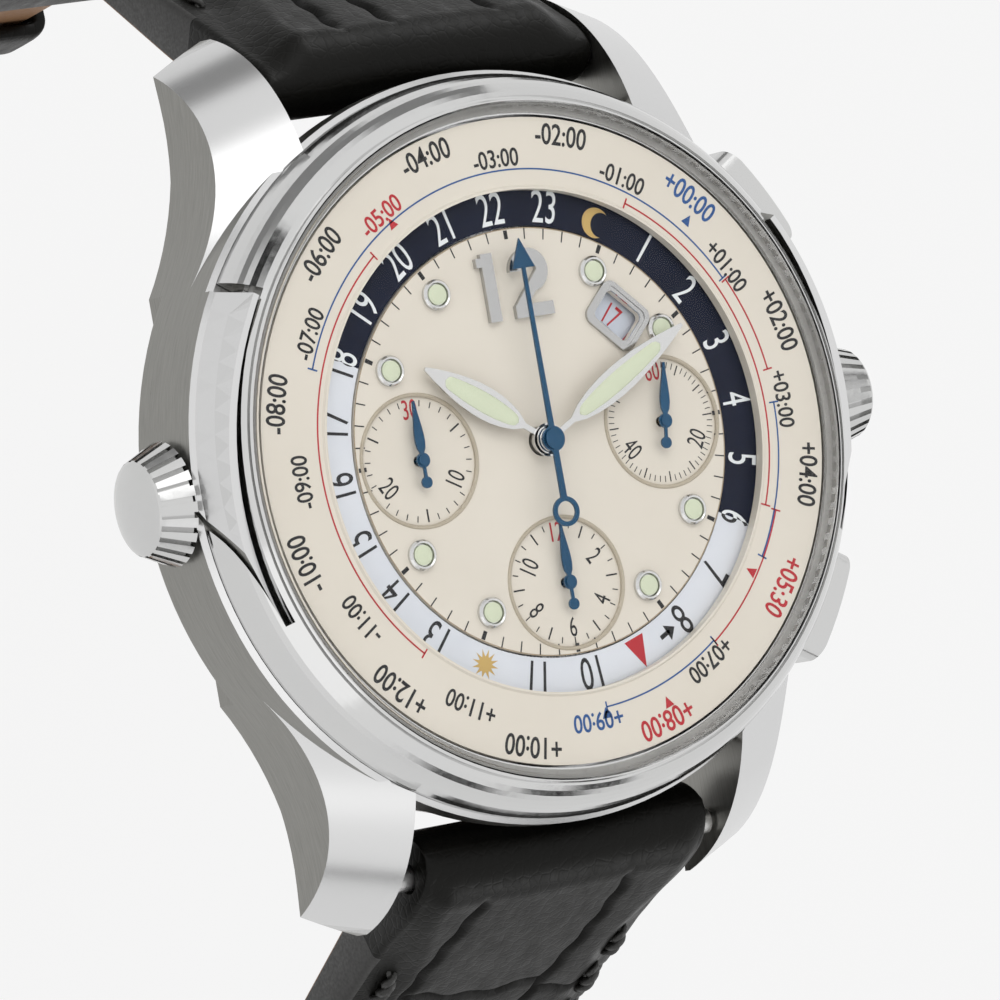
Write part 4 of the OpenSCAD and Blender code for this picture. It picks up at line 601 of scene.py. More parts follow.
BY_SLOT = {
    "polished_steel": polished_steel("polished_steel", tone=0.68, roughness=0.10),
    "brushed_steel": brushed_steel("light_brushed", (5000, 5000, 300), tone=0.62, depth=0.000004),
    "movement_steel": striped_steel(),
    "gasket_rubber": RUBBER,
    "strap_leather": RUBBER,
    "gilt_brass": scratched("gilt_brass", (2200, 2200, 2200), 11.0, (0.68, 0.47, 0.20, 1),
                            (0.86, 0.66, 0.34, 1), (0.18, 0.34)),
    "jewel": clouded("red_jewel", 0.0003, (0.38, 0.01, 0.05, 1), (0.62, 0.03, 0.10, 1), (0.08, 0.16),
                     Coat_Weight=0.8, Coat_Roughness=0.03, Specular_IOR_Level=0.6),
    "blued_steel": clouded("blued_steel", 0.0006, (0.004, 0.050, 0.115, 1), (0.008, 0.085, 0.18, 1),
                           (0.16, 0.26), metallic=0.5, Coat_Weight=0.25, Coat_Roughness=0.12),
}


def dress(node, mat):
    """Puts one material in a CAD node's slot."""
    slots = NODES[node].data.materials
    if len(slots):
        slots[0] = mat
    else:
        slots.append(mat)


for part in frame["record"]["subparts"]:
    name = part.get("node") or part.get("name")
    dress(name, FINISHES.get(name) or BY_SLOT[part.get("material") or part.get("material_slot")])

# %% [markdown]
# ## Prints
# A dial's numbers are pads of ink a few hundredths of a millimetre thick. Each mark starts as a flat outline
# in millimetres, is bent round its circle and then given a thickness, so it is a closed plate on its ground.

# %% Outlines
WORDS = {}
DIGIT_H = 0.70  # of the built-in font at size 1


def word(text, heavy=0.0):
    """(points, triangles) of a word whose digits are 1 high, centred; heavy widens its strokes. Points that
    coincide become one, and triangles without area or given twice are dropped."""
    if (text, heavy) in WORDS:
        return WORDS[text, heavy]
    curve = bpy.data.curves.new("word", "FONT")
    curve.body, curve.resolution_u, curve.offset = text, 4, heavy
    holder = put("word", curve)
    mesh = bpy.data.meshes.new_from_object(holder.evaluated_get(bpy.context.evaluated_depsgraph_get()))
    mesh.calc_loop_triangles()
    raw = np.array([v.co[:2] for v in mesh.vertices])
    tris = np.array([t.vertices[:] for t in mesh.loop_triangles])
    points, index = np.unique(np.round(raw, 5), axis=0, return_inverse=True)
    tris = index.reshape(-1)[tris]
    bpy.data.objects.remove(holder)
    bpy.data.curves.remove(curve)
    bpy.data.meshes.remove(mesh)
    a, b, c = (points[tris[:, k]] for k in range(3))
    area = (b[:, 0] - a[:, 0]) * (c[:, 1] - a[:, 1]) - (c[:, 0] - a[:, 0]) * (b[:, 1] - a[:, 1])
    tris = np.where((area < 0)[:, None], tris[:, ::-1], tris)[np.abs(area) > 1e-9]
    tris = np.unique(np.stack([np.roll(t, -int(np.argmin(t))) for t in tris]), axis=0)
    middle = [(points[:, 0].max() + points[:, 0].min()) / 2, DIGIT_H / 2]
    WORDS[text, heavy] = ((points - middle) / DIGIT_H, tris)
    return WORDS[text, heavy]


def fan(points):
    """A convex or star-shaped outline, counterclockwise round the origin, as triangles."""
    ring = np.array(points, float)
    n = len(ring)
    index = np.arange(n)
    return np.concatenate([ring, ring.mean(0)[None]]), np.stack([index, (index + 1) % n, 0 * index + n], 1)


def bar(wide, long):
    """An upright rectangle."""
    return fan([(-wide / 2, -long / 2), (wide / 2, -long / 2), (wide / 2, long / 2), (-wide / 2, long / 2)])


def strip(inner, outer):
    """Triangles between two rows of points of the same length, the outer row on the left of the path."""
    n = len(inner)
    i = np.arange(n - 1)
    return np.concatenate([inner, outer]), halved(np.stack([i, i + 1, i + 1 + n, i + n], 1))


def arc(radius, width, start, end):
    """A ring's stretch from start to end degrees clockwise from 12 o'clock."""
    a = np.radians(np.linspace(end, start, max(2, int(abs(end - start) / 1.5) + 2)))
    inner = (radius - width / 2) * np.stack([np.sin(a), np.cos(a)], 1)
    return strip(inner * (radius + width / 2) / (radius - width / 2), inner)


def crescent():
    """The moon: between an outer circle of radius 1 and a smaller one moved to its right."""
    t = np.radians(np.linspace(52, 308, 25))
    outer = np.stack([np.cos(t), np.sin(t)], 1)
    inner_t = np.radians(np.linspace(75, 285, 25))
    inner = np.stack([0.42 + 0.76 * np.cos(inner_t), 0.82 * np.sin(inner_t)], 1)
    inner[0], inner[-1] = outer[0] * 0.995, outer[-1] * 0.995
    return strip(outer, inner)


def sun():
    """A disc with twelve rays."""
    t = np.radians(np.arange(0, 360, 7.5))
    r = np.tile([1.0, 0.62, 0.5, 0.62], 12)
    return fan(np.stack([r * np.cos(t), r * np.sin(t)], 1))

# %% [markdown]
# A pad lays numbers straight on a small dial and bent on a ring. Each outline is made once, and is then
# scaled and either turned or bent into its place.

# %% Places for outlines
def flat(outline, x, y, turn, wide, high):
    """Scaled, turned counterclockwise by degrees, and put at x, y."""
    points, tris = outline
    moved = turned(points[:, 0] * wide, points[:, 1] * high, math.radians(turn))
    return np.stack(moved, 1) + [x, y], tris


def bent(outline, radius, degrees, wide=1.0, high=1.0):
    """Bent round a circle, tops outward: X = (r + y) sin(a + x / r), Y = (r + y) cos(a + x / r)."""
    points, tris = outline
    x, y = points[:, 0] * wide, points[:, 1] * high
    a = math.radians(degrees) + x / radius
    return np.stack([(radius + y) * np.sin(a), (radius + y) * np.cos(a)], 1), tris


INK_THICK, INK_SUNK = 0.016, 0.012


def ink_plate(name, marks, level, ink_material, body):
    """All marks of one ink as closed plates, sunk a little into their ground: the triangles at two heights,
    and a wall under each edge that only one triangle has."""
    points, tris = joined(marks)
    n = len(points)
    (ax, ay), (bx, by), (cx, cy) = (points[tris[:, k]].T for k in range(3))
    clockwise = (bx - ax) * (cy - ay) < (by - ay) * (cx - ax)
    tris[clockwise] = tris[clockwise][:, ::-1]
    edges = np.concatenate([tris[:, [0, 1]], tris[:, [1, 2]], tris[:, [2, 0]]])
    _, first, count = np.unique(np.sort(edges, 1), axis=0, return_index=True, return_counts=True)
    a, b = edges[first[count == 1]].T
    walls = halved(np.stack([a, b, b + n, a + n], 1))
    faces = np.concatenate([tris + n, tris[:, ::-1], walls])
    low = np.column_stack([points, np.full(n, level - INK_SUNK)])
    high = np.column_stack([points, np.full(n, level + INK_THICK)])
    obj = put(name, mesh_of(name, np.concatenate([low, high]) * MM, faces, smooth=False))
    obj.data.materials.append(ink_material)
    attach(obj, body)
    print(name, len(marks), "marks", len(faces), "triangles")

# %% [markdown]
# The inks are nearly even, with a little variation in the pigment. The numbers of the 24-hour ring change
# from white to black where their ground changes from night to day.

# %% Inks
BLACK_INK = ink("black_ink", (0.006, 0.006, 0.007, 1), (0.016, 0.016, 0.018, 1))
RED_INK = ink("red_ink", (0.42, 0.010, 0.018, 1), (0.52, 0.022, 0.034, 1))
BLUE_INK = ink("blue_ink", (0.012, 0.07, 0.24, 1), (0.02, 0.10, 0.31, 1))
# painted shadow: a thin brown line for the shade where the dial steps down to the 24-hour ring
PAINTED_EDGE_SHADOW = ink("painted_edge_shadow_ink", (0.30, 0.23, 0.15, 1), (0.38, 0.30, 0.20, 1))
GOLD_INK = ink("gold_ink", (0.50, 0.33, 0.10, 1), (0.64, 0.44, 0.15, 1), (0.3, 0.42))


def day_night_ink():
    """White on the night half and black on the day half, split as the ring is."""
    mat, w, shader = material("day_night_ink")
    _, specks = pattern(w, VARIATION, Size=0.0003)
    w.feed(shader, Base_Color=w.mix(night_side(w), (0.012, 0.012, 0.014, 1), (0.80, 0.83, 0.84, 1)),
           Roughness=w.spread(specks, 0.35, 0.5))
    return mat


print("inks", [mat.name for mat in (BLACK_INK, RED_INK, BLUE_INK, PAINTED_EDGE_SHADOW, GOLD_INK)])

# %% [markdown]
# The dial has 60 ticks at its edge and three small scales, printed in black with the top number in red.
# The scales repeat one tick and differ only in count and lengths, so one function draws them.

# %% Dial print
DIAL_LEVEL = DIAL_Z / MM
SMALL_LEVEL = 10.28
SMALL_MM = SMALL_DIAL_DISTANCE / MM
SHORT_TICK, LONG_TICK = (3.10, 3.45), (2.72, 3.45)


def around(place, radius, degrees, outline, turn=None, wide=1.0, high=1.0):
    """An outline on a small dial's circle; below the middle its top points inward unless turn is given."""
    x0, y0 = (v * SMALL_MM for v in place)
    a = math.radians(degrees)
    upright = -degrees + (180 if 90 < degrees < 270 else 0)
    return flat(outline, x0 + radius * math.sin(a), y0 + radius * math.cos(a),
                upright if turn is None else turn, wide, high)


def small_ticks(place, every, long_at, skip, tall=LONG_TICK, wide=(0.055, 0.10)):
    """Ticks round a small dial each `every` degrees, longer and wider ones at long_at, none near skip."""
    out = []
    for degrees in range(0, 360, every):
        if any(abs((degrees - s + 180) % 360 - 180) < 4 for s in skip):
            continue
        is_long = degrees in long_at
        r0, r1 = tall if is_long else SHORT_TICK
        out.append(around(place, (r0 + r1) / 2, degrees, bar(wide[is_long], r1 - r0), turn=-degrees))
    return out


def dial_print():
    """Minute ticks at the dial's edge, the ticks and numbers of the three small dials, and a thin brown
    painted shadow line round the dial's edge.
    """
    edge = []
    for minute in range(60):
        wide, long, radius = (0.07, 0.62, 11.79) if minute % 5 else (0.24, 0.50, 11.80)
        edge.append(bent(bar(wide, long), radius, 6 * minute))
    ink_plate("minute_ticks", edge, DIAL_LEVEL, BLACK_INK, "case")
    nine, three, six = (SMALL_DIAL_PLACES[k] for k in ("nine", "three", "six"))
    black = small_ticks(nine, 12, (60, 180, 300), skip=(0, 120, 240))
    black += small_ticks(three, 6, (30, 60, 90, 150, 180, 210, 270, 300, 330), skip=(0,), tall=(2.86, 3.45),
                         wide=(0.045, 0.07))
    black += small_ticks(six, 15, (30, 90, 150, 210, 270, 330), skip=(0,), wide=(0.06, 0.09))
    size = {"wide": 0.72, "high": 1.12}
    for place, numbers in (
        (nine, ((120, "10"), (240, "20"))),
        (three, ((120, "20"), (240, "40"))),
        (six, ((60, "2"), (120, "4"), (180, "6"), (240, "8"), (300, "10"))),
    ):
        black += [around(place, 2.50, degrees, word(text), **size) for degrees, text in numbers]
    ink_plate("small_dial_print", black, SMALL_LEVEL, BLACK_INK, "case")
    red = [around(place, 2.95, 0, word(text), **size) for place, text in
           ((nine, "30"), (three, "60"), (six, "12"))]
    ink_plate("small_dial_red", red, SMALL_LEVEL, RED_INK, "case")
    # painted shadow: the brown line round the dial's edge, where the dial steps down to the ring
    ink_plate("dial_edge_line", [arc(12.12, 0.06, 0, 360)], DIAL_LEVEL, PAINTED_EDGE_SHADOW, "case")

# %% [markdown]
# The 24-hour ring, the zone ring and the date disc carry prints of their own, because each of them turns.
# The red and blue arcs under the zones show office hours.

# %% Ring prints
RING_LEVEL, DATE_LEVEL = (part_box(node)[1][2] / MM for node in ("day_night_ring", "date_disc"))
ZONE_LEVEL = 11.0


def day_ring_print():
    """24 hours, hour h at 15 h degrees from midnight: the moon stands for 24, the sun for 12 and a red mark
    for 9, with an arrow beside it that points to 8."""
    at = [math.degrees(MIDNIGHT_ANGLE) + 15 * hour for hour in range(24)]
    numbers = [bent(word(str(h)), 13.4, at[h], 1.22, 1.88) for h in range(1, 24) if h not in (9, 12)]
    moon, noon = bent(crescent(), 13.2, at[0], 0.88, 0.88), bent(sun(), 13.3, at[12], 0.86, 0.86)
    mark = bent(fan([(0, 0.95), (-0.72, -0.85), (0.72, -0.85)]), 13.3, at[9])
    shaft = bent(bar(0.75, 0.26), 13.35, at[8] + 6.3)
    head = bent(fan([(-0.5, 0), (0.1, -0.5), (0.1, 0.5)]), 13.35, at[8] + 5.2)
    ink_plate("hour_numbers", numbers, RING_LEVEL, day_night_ink(), "day_ring")
    ink_plate("moon_and_sun", [moon, noon], RING_LEVEL, GOLD_INK, "day_ring")
    ink_plate("hour_mark", [mark], RING_LEVEL, RED_INK, "day_ring")
    ink_plate("hour_arrow", [shaft, head], RING_LEVEL, BLACK_INK, "day_ring")


def zone_name(offset):
    """The difference from the zero meridian's time, as +05:30."""
    return "%s%02d:%02d" % ("-" if offset < 0 else "+", abs(offset), round(abs(offset) % 1 * 60))


def zone_print():
    """24 offsets in two tiers, 15 degrees apart, and the red and blue office-hour arcs under them."""
    inks = {"black": [], "red": [], "blue": []}
    for k in [k for k in range(-11, 13) if k not in (5, 6)] + [5.5]:
        outer_tier = k == 5.5 or k % 2 == 0
        colour = "red" if k in (-5, 5.5, 8) else "blue" if k in (0, 9) else "black"
        radius, wide, high = (17.45, 0.94, 1.20) if outer_tier else (16.12, 0.84, 1.02)
        inks[colour].append(bent(word(zone_name(k), 0.012), radius, 44.5 + 15 * k, wide, high))
    for colour, radius, start, end in (
        ("blue", 15.40, -67.3, 60.8), ("blue", 15.40, 89.8, 123.7), ("blue", 15.40, 146.0, 176.9),
        ("red", 14.78, -136.0, -37.8), ("red", 14.78, 31.9, 112.6), ("red", 15.50, 61.4, 82.7),
        ("red", 15.50, 113.0, 146.0),
    ):
        inks[colour].append(arc(radius, 0.09, start, end))
        inks[colour] += [bent(bar(0.09, 0.62), radius, end_angle) for end_angle in (start, end)]
    for colour, radius, degrees, out in (
        ("red", 15.32, -29.5, 1), ("blue", 16.15, 46.7, 1), ("red", 15.1, 127.9, -1),
        ("red", 16.5, 162.7, -1), ("blue", 15.75, 177.3, -1),
    ):
        pointer = fan([(0, 0.36 * out), (-0.30 * out, -0.28 * out), (0.30 * out, -0.28 * out)])
        inks[colour].append(bent(pointer, radius, degrees))
    for colour, ink_material in (("black", BLACK_INK), ("red", RED_INK), ("blue", BLUE_INK)):
        ink_plate("zone_print_" + colour, inks[colour], ZONE_LEVEL, ink_material, "zone_ring")


def date_print():
    """The 31 numbers of the date disc, with 17 in the window at 45 degrees. Their radius and height keep
    them clear of the pins of the counter hands."""
    numbers = [bent(word(str(day)), 9.04, 45 + (day - 17) * 360 / 31, 0.78, 1.32) for day in range(1, 32)]
    ink_plate("date_numbers", numbers, DATE_LEVEL, RED_INK, "date")


dial_print()
day_ring_print()
zone_print()
date_print()

# %% [markdown]
# ## Luminous paste in the hands
# The hour and minute hands are leaves cut open along the middle. The paste that fills them stands a little
# above the steel and is domed by its own surface.

# %% Lume inlays
STEM = 0.09


def lume_inlay(name, level, body, degrees, length, wide, root):
    """A domed leaf with 0.62 of the hand's half width, which is STEM + (wide / 2 - STEM) sin(180 t^0.8)^0.9
    at the share t of the length. Both ends are rounded."""
    t = np.linspace(0.075, 0.80, 40)
    half = 0.62 * (STEM + (wide / 2 - STEM) * np.sin(np.pi * t ** 0.8) ** 0.9)
    ends = np.clip(np.minimum(t - t[0], t[-1] - t) / 0.05, 0, 1)
    half = half * np.sqrt(np.clip(1 - (1 - ends) ** 2, 0.0004, 1))
    across = np.linspace(-1, 1, 13)
    x = half[:, None] * across
    y = (root + (length - root) * t)[:, None] + 0 * x
    z = level + 0.006 + 0.05 * (1 - across ** 2) * np.sqrt(half / half.max())[:, None]
    low = np.full_like(z, level - 0.05)
    top, under = (np.stack([*turned(x, y, -math.radians(degrees)), height], -1) for height in (z, low))
    n, m = x.shape
    verts = np.concatenate([top, under[:, ::-1]], 1).reshape(-1, 3) * MM
    k = np.arange(m - 1)
    cap = np.stack([k, k + 1, 2 * m - 2 - k, 2 * m - 1 - k], 1)
    faces = [grid_faces(n, 2 * m, wrap_cols=True), np.concatenate([cap[:, ::-1], cap + (n - 1) * 2 * m])]
    obj = put(name, mesh_of(name, verts, facing_out(verts, faces)))
    obj.data.materials.append(FINISHES["lume_dots"])
    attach(obj, body)
    print(name, "length", round(float(y.max() - y.min()), 2), "mm")


lume_inlay("hour_hand_lume", 11.20, "hours", 305, 8.75, 1.9, 1.6)
lume_inlay("minute_hand_lume", 11.48, "minutes", 62, 11.2, 1.75, 1.7)

# %% [markdown]
# ## Leather
# The strap is two padded leathers sewn round a core. Its outside is a large-scaled skin: a few long grooves,
# cross grooves between them, and between the grooves domed scales with a satin gloss. The relief is a
# formula of the place along and across the strap, and the same formula tells the material where a groove is.

# %% Leather materials
def black_leather():
    """Glossy on the scales and dull in the grooves, with fine wrinkles drawn across the strap; the grooves
    are also painted darker, as painted shade.
    """
    mat, w, shader = material("black_leather", Specular_IOR_Level=0.14)
    groove = w.add("ShaderNodeAttribute", {"attribute_name": "groove"}).outputs["Fac"]
    coords = w.here()
    cells = w.add("ShaderNodeTexVoronoi", {"feature": "DISTANCE_TO_EDGE"}, Vector=coords, Scale=1500.0)
    pores = w.ramp(cells.outputs["Distance"], 0.0, 0.12)
    wrinkles = w.noise(w.mapped(Scale=(1300, 500, 500)), 1.0, 5.0, 0.65)
    scale_tone = w.mix(w.noise(coords, 120.0, 2.0), (0.0030, 0.0029, 0.0023, 1), (0.0066, 0.0064, 0.0052, 1))
    dull = w.math("MULTIPLY", groove, 0.25)
    height = w.math("ADD", wrinkles, w.math("MULTIPLY", pores, 0.25))
    # painted shade: the grooves get a darker colour than the scales
    w.feed(shader, Base_Color=w.mix(groove, scale_tone, (0.0022, 0.0020, 0.0017, 1)),
           Roughness=w.math("ADD", w.spread(wrinkles, 0.34, 0.50), dull, clamp=True),
           Normal=w.bump(height, 0.00005, 0.75))
    return mat


def fibrous(name, colour_scale, pore_scale, detail, dark, pale, rough):
    """A matt surface of pores or fibres, with colour in clouds of its own size."""
    mat, w, shader = material(name)
    pores = w.noise(w.here(), pore_scale, detail)
    tone = pores if colour_scale == pore_scale else w.noise(w.here(), colour_scale, 2.0)
    w.feed(shader, Base_Color=w.mix(tone, dark, pale), Roughness=w.spread(pores, *rough),
           Normal=w.bump(pores, 0.00004))
    return mat


LEATHER = black_leather()
LINING = fibrous("lining_leather", 90.0, 2600.0, 4.0, (0.24, 0.125, 0.060, 1), (0.33, 0.18, 0.090, 1),
                 (0.5, 0.68))
THREAD = fibrous("waxed_thread", 6000.0, 6000.0, 3.0, (0.010, 0.010, 0.009, 1), (0.030, 0.029, 0.027, 1),
                 (0.38, 0.6))
EDGE = clouded("edge_paint", 0.0004, (0.008, 0.0075, 0.007, 1), (0.018, 0.017, 0.015, 1), (0.42, 0.58),
               relief=0.00006)
print("leathers", [mat.name for mat in (LEATHER, LINING, THREAD, EDGE)])

# %% [markdown]
# A strap half leaves its spring bar at 60 degrees down, runs straight for 16 mm, bends once and runs
# straight again. A point of it has three coordinates: s along the run, u across it and h outwards from its
# middle.

# %% Strap run
BAR_Y, BAR_Z = 23.0, 3.4
ROOT_DIR, BEND_START = math.radians(-60), 16.0
STRAP_W, STRAP_END_W, TAPER_FROM = 21.6, 18.2, 8.0
END_T, FLAT_T, FLAT_FROM, NOSE_R = 5.2, 3.0, 22.0, 2.6
STITCH_IN = 1.6


class Half:
    """One half of the strap: its run, its outline and its thickness. side is 1 at 12 o'clock, -1 at 6."""

    def __init__(self, length, bend, end_degrees, side):
        self.length, self.bend, self.side = length, bend, side
        self.end_dir = math.radians(end_degrees)
        self.low = self.run(np.array(length))[1] - END_T

    def run(self, s):
        """The middle line in the YZ plane: straight, then an arc of length bend, then straight."""
        a, b = ROOT_DIR, self.end_dir
        radius = self.bend / (a - b)
        c = a - np.clip(s - BEND_START, 0, self.bend) / radius
        before, after = np.minimum(s, BEND_START), np.maximum(s - BEND_START - self.bend, 0)
        y = before * math.cos(a) + radius * (math.sin(a) - np.sin(c)) + after * math.cos(b)
        z = before * math.sin(a) + radius * (np.cos(c) - math.cos(a)) + after * math.sin(b)
        return y, z

    def direction(self, s):
        """The run's angle at s, level being 0."""
        return ROOT_DIR + (self.end_dir - ROOT_DIR) * np.clip((s - BEND_START) / self.bend, 0, 1)

    def half_width(self, s):
        """Tapered in the front view from TAPER_FROM under the bar to the low end."""
        share = np.clip((self.run(s)[1] + TAPER_FROM) / (self.low + TAPER_FROM), 0, 1)
        return STRAP_W / 2 + (STRAP_END_W - STRAP_W) / 2 * share

    def thickness(self, s):
        """END_T at the bar, FLAT_T from FLAT_FROM on, and a half circle before the bar."""
        flat = END_T + (FLAT_T - END_T) * np.clip(s, 0, FLAT_FROM) / FLAT_FROM
        return np.where(s < 0, 2 * np.sqrt(np.maximum(NOSE_R ** 2 - np.minimum(s, 0) ** 2, 0)), flat)

    def place(self, s, u, h):
        """Points of the frame, in metres, for places along, across and outwards."""
        y, z = self.run(s)
        d = self.direction(s)
        y, z = self.side * (BAR_Y + y - h * np.sin(d)), BAR_Z + z + h * np.cos(d)
        return np.stack(np.broadcast_arrays(u, y, z), -1) * MM

    def point(self, s, h=0.0):
        """One point halfway across the strap."""
        return self.place(np.array(s), np.array(0.0), np.array(h))


BUCKLE_HALF = Half(78.0, 30.0, -96.0, 1)
HOLE_HALF = Half(115.0, 40.0, -98.0, -1)
print("strap ends in mm", [[round(float(v / MM), 1) for v in half.point(half.length)]
                           for half in (BUCKLE_HALF, HOLE_HALF)])

# %% [markdown]
# Alligator hide has squarish scales with uneven grooves between them. A texture would stay flat at the
# strap's outline, so the mesh itself has the grooves: waves along the strap and bowed cuts across it, with
# shoulders as round as soft leather's.

# %% Scales
GROOVE_W, CROSS_W = 0.27, 0.24
RELIEF, SEAM_DEEP, SEAM_W, CROWN = 0.46, 0.13, 0.32, 0.10
SEAM_FROM, END_FADE = 6.5, 1.6
PAD_RUN, EDGE_T = 2.8, 1.7


def smooth(t):
    """0 below 0, 1 above 1 and a soft step 3 t^2 - 2 t^3 between them."""
    t = np.clip(t, 0, 1)
    return t * t * (3 - 2 * t)


def groove_at(distance, wide):
    """A cut 1 deep on its line, with shoulders that round down to it."""
    return 0.72 * np.exp(-((distance / wide) ** 2)) + 0.28 * np.exp(-distance / (3.2 * wide))


def scales(s, u, lines, crosses):
    """How deep the grooves are, 0..1: long lines at u = c + A sin(k s + p) with a small wobble, which fade
    out at the bar, and between two neighbouring lines cross grooves that bow across their column."""
    turns = 2 * np.pi * s
    centre = [c + amp * np.sin(turns / period + phase) + 0.10 * np.sin(turns / 2.9 + 5 * phase)
              for c, amp, period, phase in lines]
    deep = np.zeros(np.broadcast(s, u).shape)
    fade = smooth((s + 0.8) / 1.8)
    for line in centre:
        deep = np.maximum(deep, groove_at(np.abs(u - line), GROOVE_W) * fade)
    edges = [0 * s - STRAP_W] + centre + [0 * s + STRAP_W]
    for column, places in enumerate(crosses):
        left, right = edges[column], edges[column + 1]
        inside = (u > left) & (u < right)
        wave = 0.45 * np.sin(0.55 * u + column * 2.1) + 0.18 * np.sin(1.9 * u + column)
        for n, at in enumerate(places):
            tilt = 0.10 * math.sin(2.3 * n + column)
            away = np.abs(s - at - wave - tilt * u)
            deep = np.maximum(deep, np.where(inside, groove_at(away, CROSS_W) * 0.9, 0))
    return deep


def outer_height(half, s, u, deep):
    """The padded outside: half the thickness in the middle, lower along the edges and in the stitched seam,
    less the relief."""
    w, t = half.half_width(s), half.thickness(s)
    inset = 0.35 + 1.55 * smooth((s - 1.0) / 8.0)
    pad = smooth((w - inset - np.abs(u)) / PAD_RUN)
    drop = np.minimum(0.34 * (t - EDGE_T), 0.45 * t)
    seam = SEAM_DEEP * np.exp(-(((np.abs(u) - (w - STITCH_IN)) / SEAM_W) ** 2)) * smooth((s - SEAM_FROM) / 2)
    relief = np.minimum(RELIEF * deep, 0.16 * t) * (0.35 + 0.65 * pad)
    crown = CROWN * (u / w) ** 2
    return t / 2 - np.maximum(drop, 0.0) * (1 - pad) - seam - relief - np.minimum(crown, 0.1 * t)


ROUND_END = 1.5


def strap_mesh(name, half, stations, width_at, lines, crosses, across, round_end):
    """Rings of points: the outside from -u to u, a rounded edge, the flat inside back, and the other edge.
    The grooves fade before the end. A round end loses its thickness in a quarter circle."""
    s = stations[:, None]
    w = width_at(stations)[:, None]
    t = half.thickness(s)
    before_end = smooth((half.length - END_FADE - s) / 2.5)
    if round_end:
        into = np.clip(s - (half.length - ROUND_END), 0, ROUND_END - 0.01) / ROUND_END
        t = t * np.sqrt(np.clip(1 - into ** 2, 0, 1))
    scale = t / half.thickness(s)
    radius = np.minimum(0.42, np.minimum(0.42 * t, 0.9 * w))
    v = np.linspace(-1, 1, across)[None, :]
    u_out = v * (w - radius)
    deep = scales(s + 0 * u_out, u_out, lines, crosses) * before_end
    h_out = outer_height(half, s, u_out, deep)
    if round_end:
        even = half.thickness(s) / 2
        h_out = even + (h_out - even) * before_end
    h_out = h_out * scale
    h_in = -t / 2
    quarter = np.linspace(0, np.pi / 2, 5)[None, 1:]
    high_u = (w - radius) + radius * np.sin(quarter)
    high_drop = radius * (1 - np.cos(quarter))
    low_u = (w - radius) + radius * np.cos(quarter)
    low_h = h_in + radius * (1 - np.sin(quarter))
    u_in = np.linspace(1, -1, 40)[None, 1:-1] * (w - radius)
    u = np.concatenate([u_out, high_u, low_u, u_in, -low_u[:, ::-1], -high_u[:, ::-1]], 1)
    h = np.concatenate([h_out, h_out[:, -1:] - high_drop, low_h, h_in + 0 * u_in, low_h[:, ::-1],
                        h_out[:, :1] - high_drop[:, ::-1]], 1)
    rows, cols = u.shape
    verts = half.place(s, u, h).reshape(-1, 3)
    shell = np.concatenate([verts, [verts[:cols].mean(0), verts[-cols:].mean(0)]])
    faces = [grid_faces(rows, cols, wrap_cols=True), *end_fans(rows, cols)]
    mesh = mesh_of(name, shell, facing_out(shell, faces))
    groove = np.zeros((rows, cols))
    groove[:, :across] = deep
    mesh.attributes.new("groove", "FLOAT", "POINT").data.foreach_set("value", [*groove.flat, 0.0, 0.0])

    leather, lining, edge = 0, 1, 2
    n_edge = quarter.shape[1]
    kind = np.full((rows + 1, cols), edge)
    kind[:, : across - 1] = leather
    kind[:, across + n_edge : cols - n_edge - 1] = lining
    kind[:-2][stations[:-1] < SEAM_FROM] = leather
    kind[-2] = leather
    for mat in (LEATHER, LINING, EDGE):
        mesh.materials.append(mat)
    mesh.polygons.foreach_set("material_index", kind.ravel())
    return mesh

# %% [markdown]
# Rods and a block with closed shells are taken out of the finished leather, for the spring bars, the
# buckle's bar, the tang and the holes, because a punch cuts through all layers at once. The cut walls get
# the edge's paint.

# %% Cutting
THROUGH = 4.0


def tube(path, radius, sides):
    """A closed tube along path points (n, 3), with its ring frame carried along without turning."""
    path = np.asarray(path, float)
    tangent = np.gradient(path, axis=0)
    tangent /= np.linalg.norm(tangent, axis=1)[:, None]
    side = np.cross(tangent[0], [0.0, 0.0, 1.0] if abs(tangent[0][2]) < 0.9 else [1.0, 0.0, 0.0])
    a = np.linspace(0, 2 * np.pi, sides, endpoint=False)[:, None]
    rings = []
    for point, t, r in zip(path, tangent, np.broadcast_to(radius, len(path))):
        side = side - t * side.dot(t)
        side /= np.linalg.norm(side)
        rings.append(point + r * (np.cos(a) * side + np.sin(a) * np.cross(t, side)))
    verts = np.concatenate(rings + [path[:1], path[-1:]])
    walls = halved(grid_faces(len(path), sides, wrap_cols=True))
    return verts, facing_out(verts, np.concatenate([walls, *end_fans(len(path), sides)]))


def cut(obj, parts):
    """Takes closed shells that don't meet each other out of the mesh."""
    cutter = put("cutter", mesh_of("cutter", *joined(parts), smooth=False))
    cutter.data.materials.append(EDGE)
    modifier = obj.modifiers.new("cut", "BOOLEAN")
    modifier.operation, modifier.solver, modifier.object = "DIFFERENCE", "EXACT", cutter
    mesh = bpy.data.meshes.new_from_object(obj.evaluated_get(bpy.context.evaluated_depsgraph_get()))
    obj.modifiers.clear()
    old, obj.data = obj.data, mesh
    mesh.name = old.name
    bpy.data.meshes.remove(old)
    bpy.data.objects.remove(cutter)


def rod(a, b, diameter):
    return tube(np.array([a, b]), diameter / 2 * MM, 24)


def bar_hole(middle, diameter):
    """A rod along X that is wider than the strap."""
    wide = np.array([20 * MM, 0, 0])
    return rod(middle - wide, middle + wide, diameter)


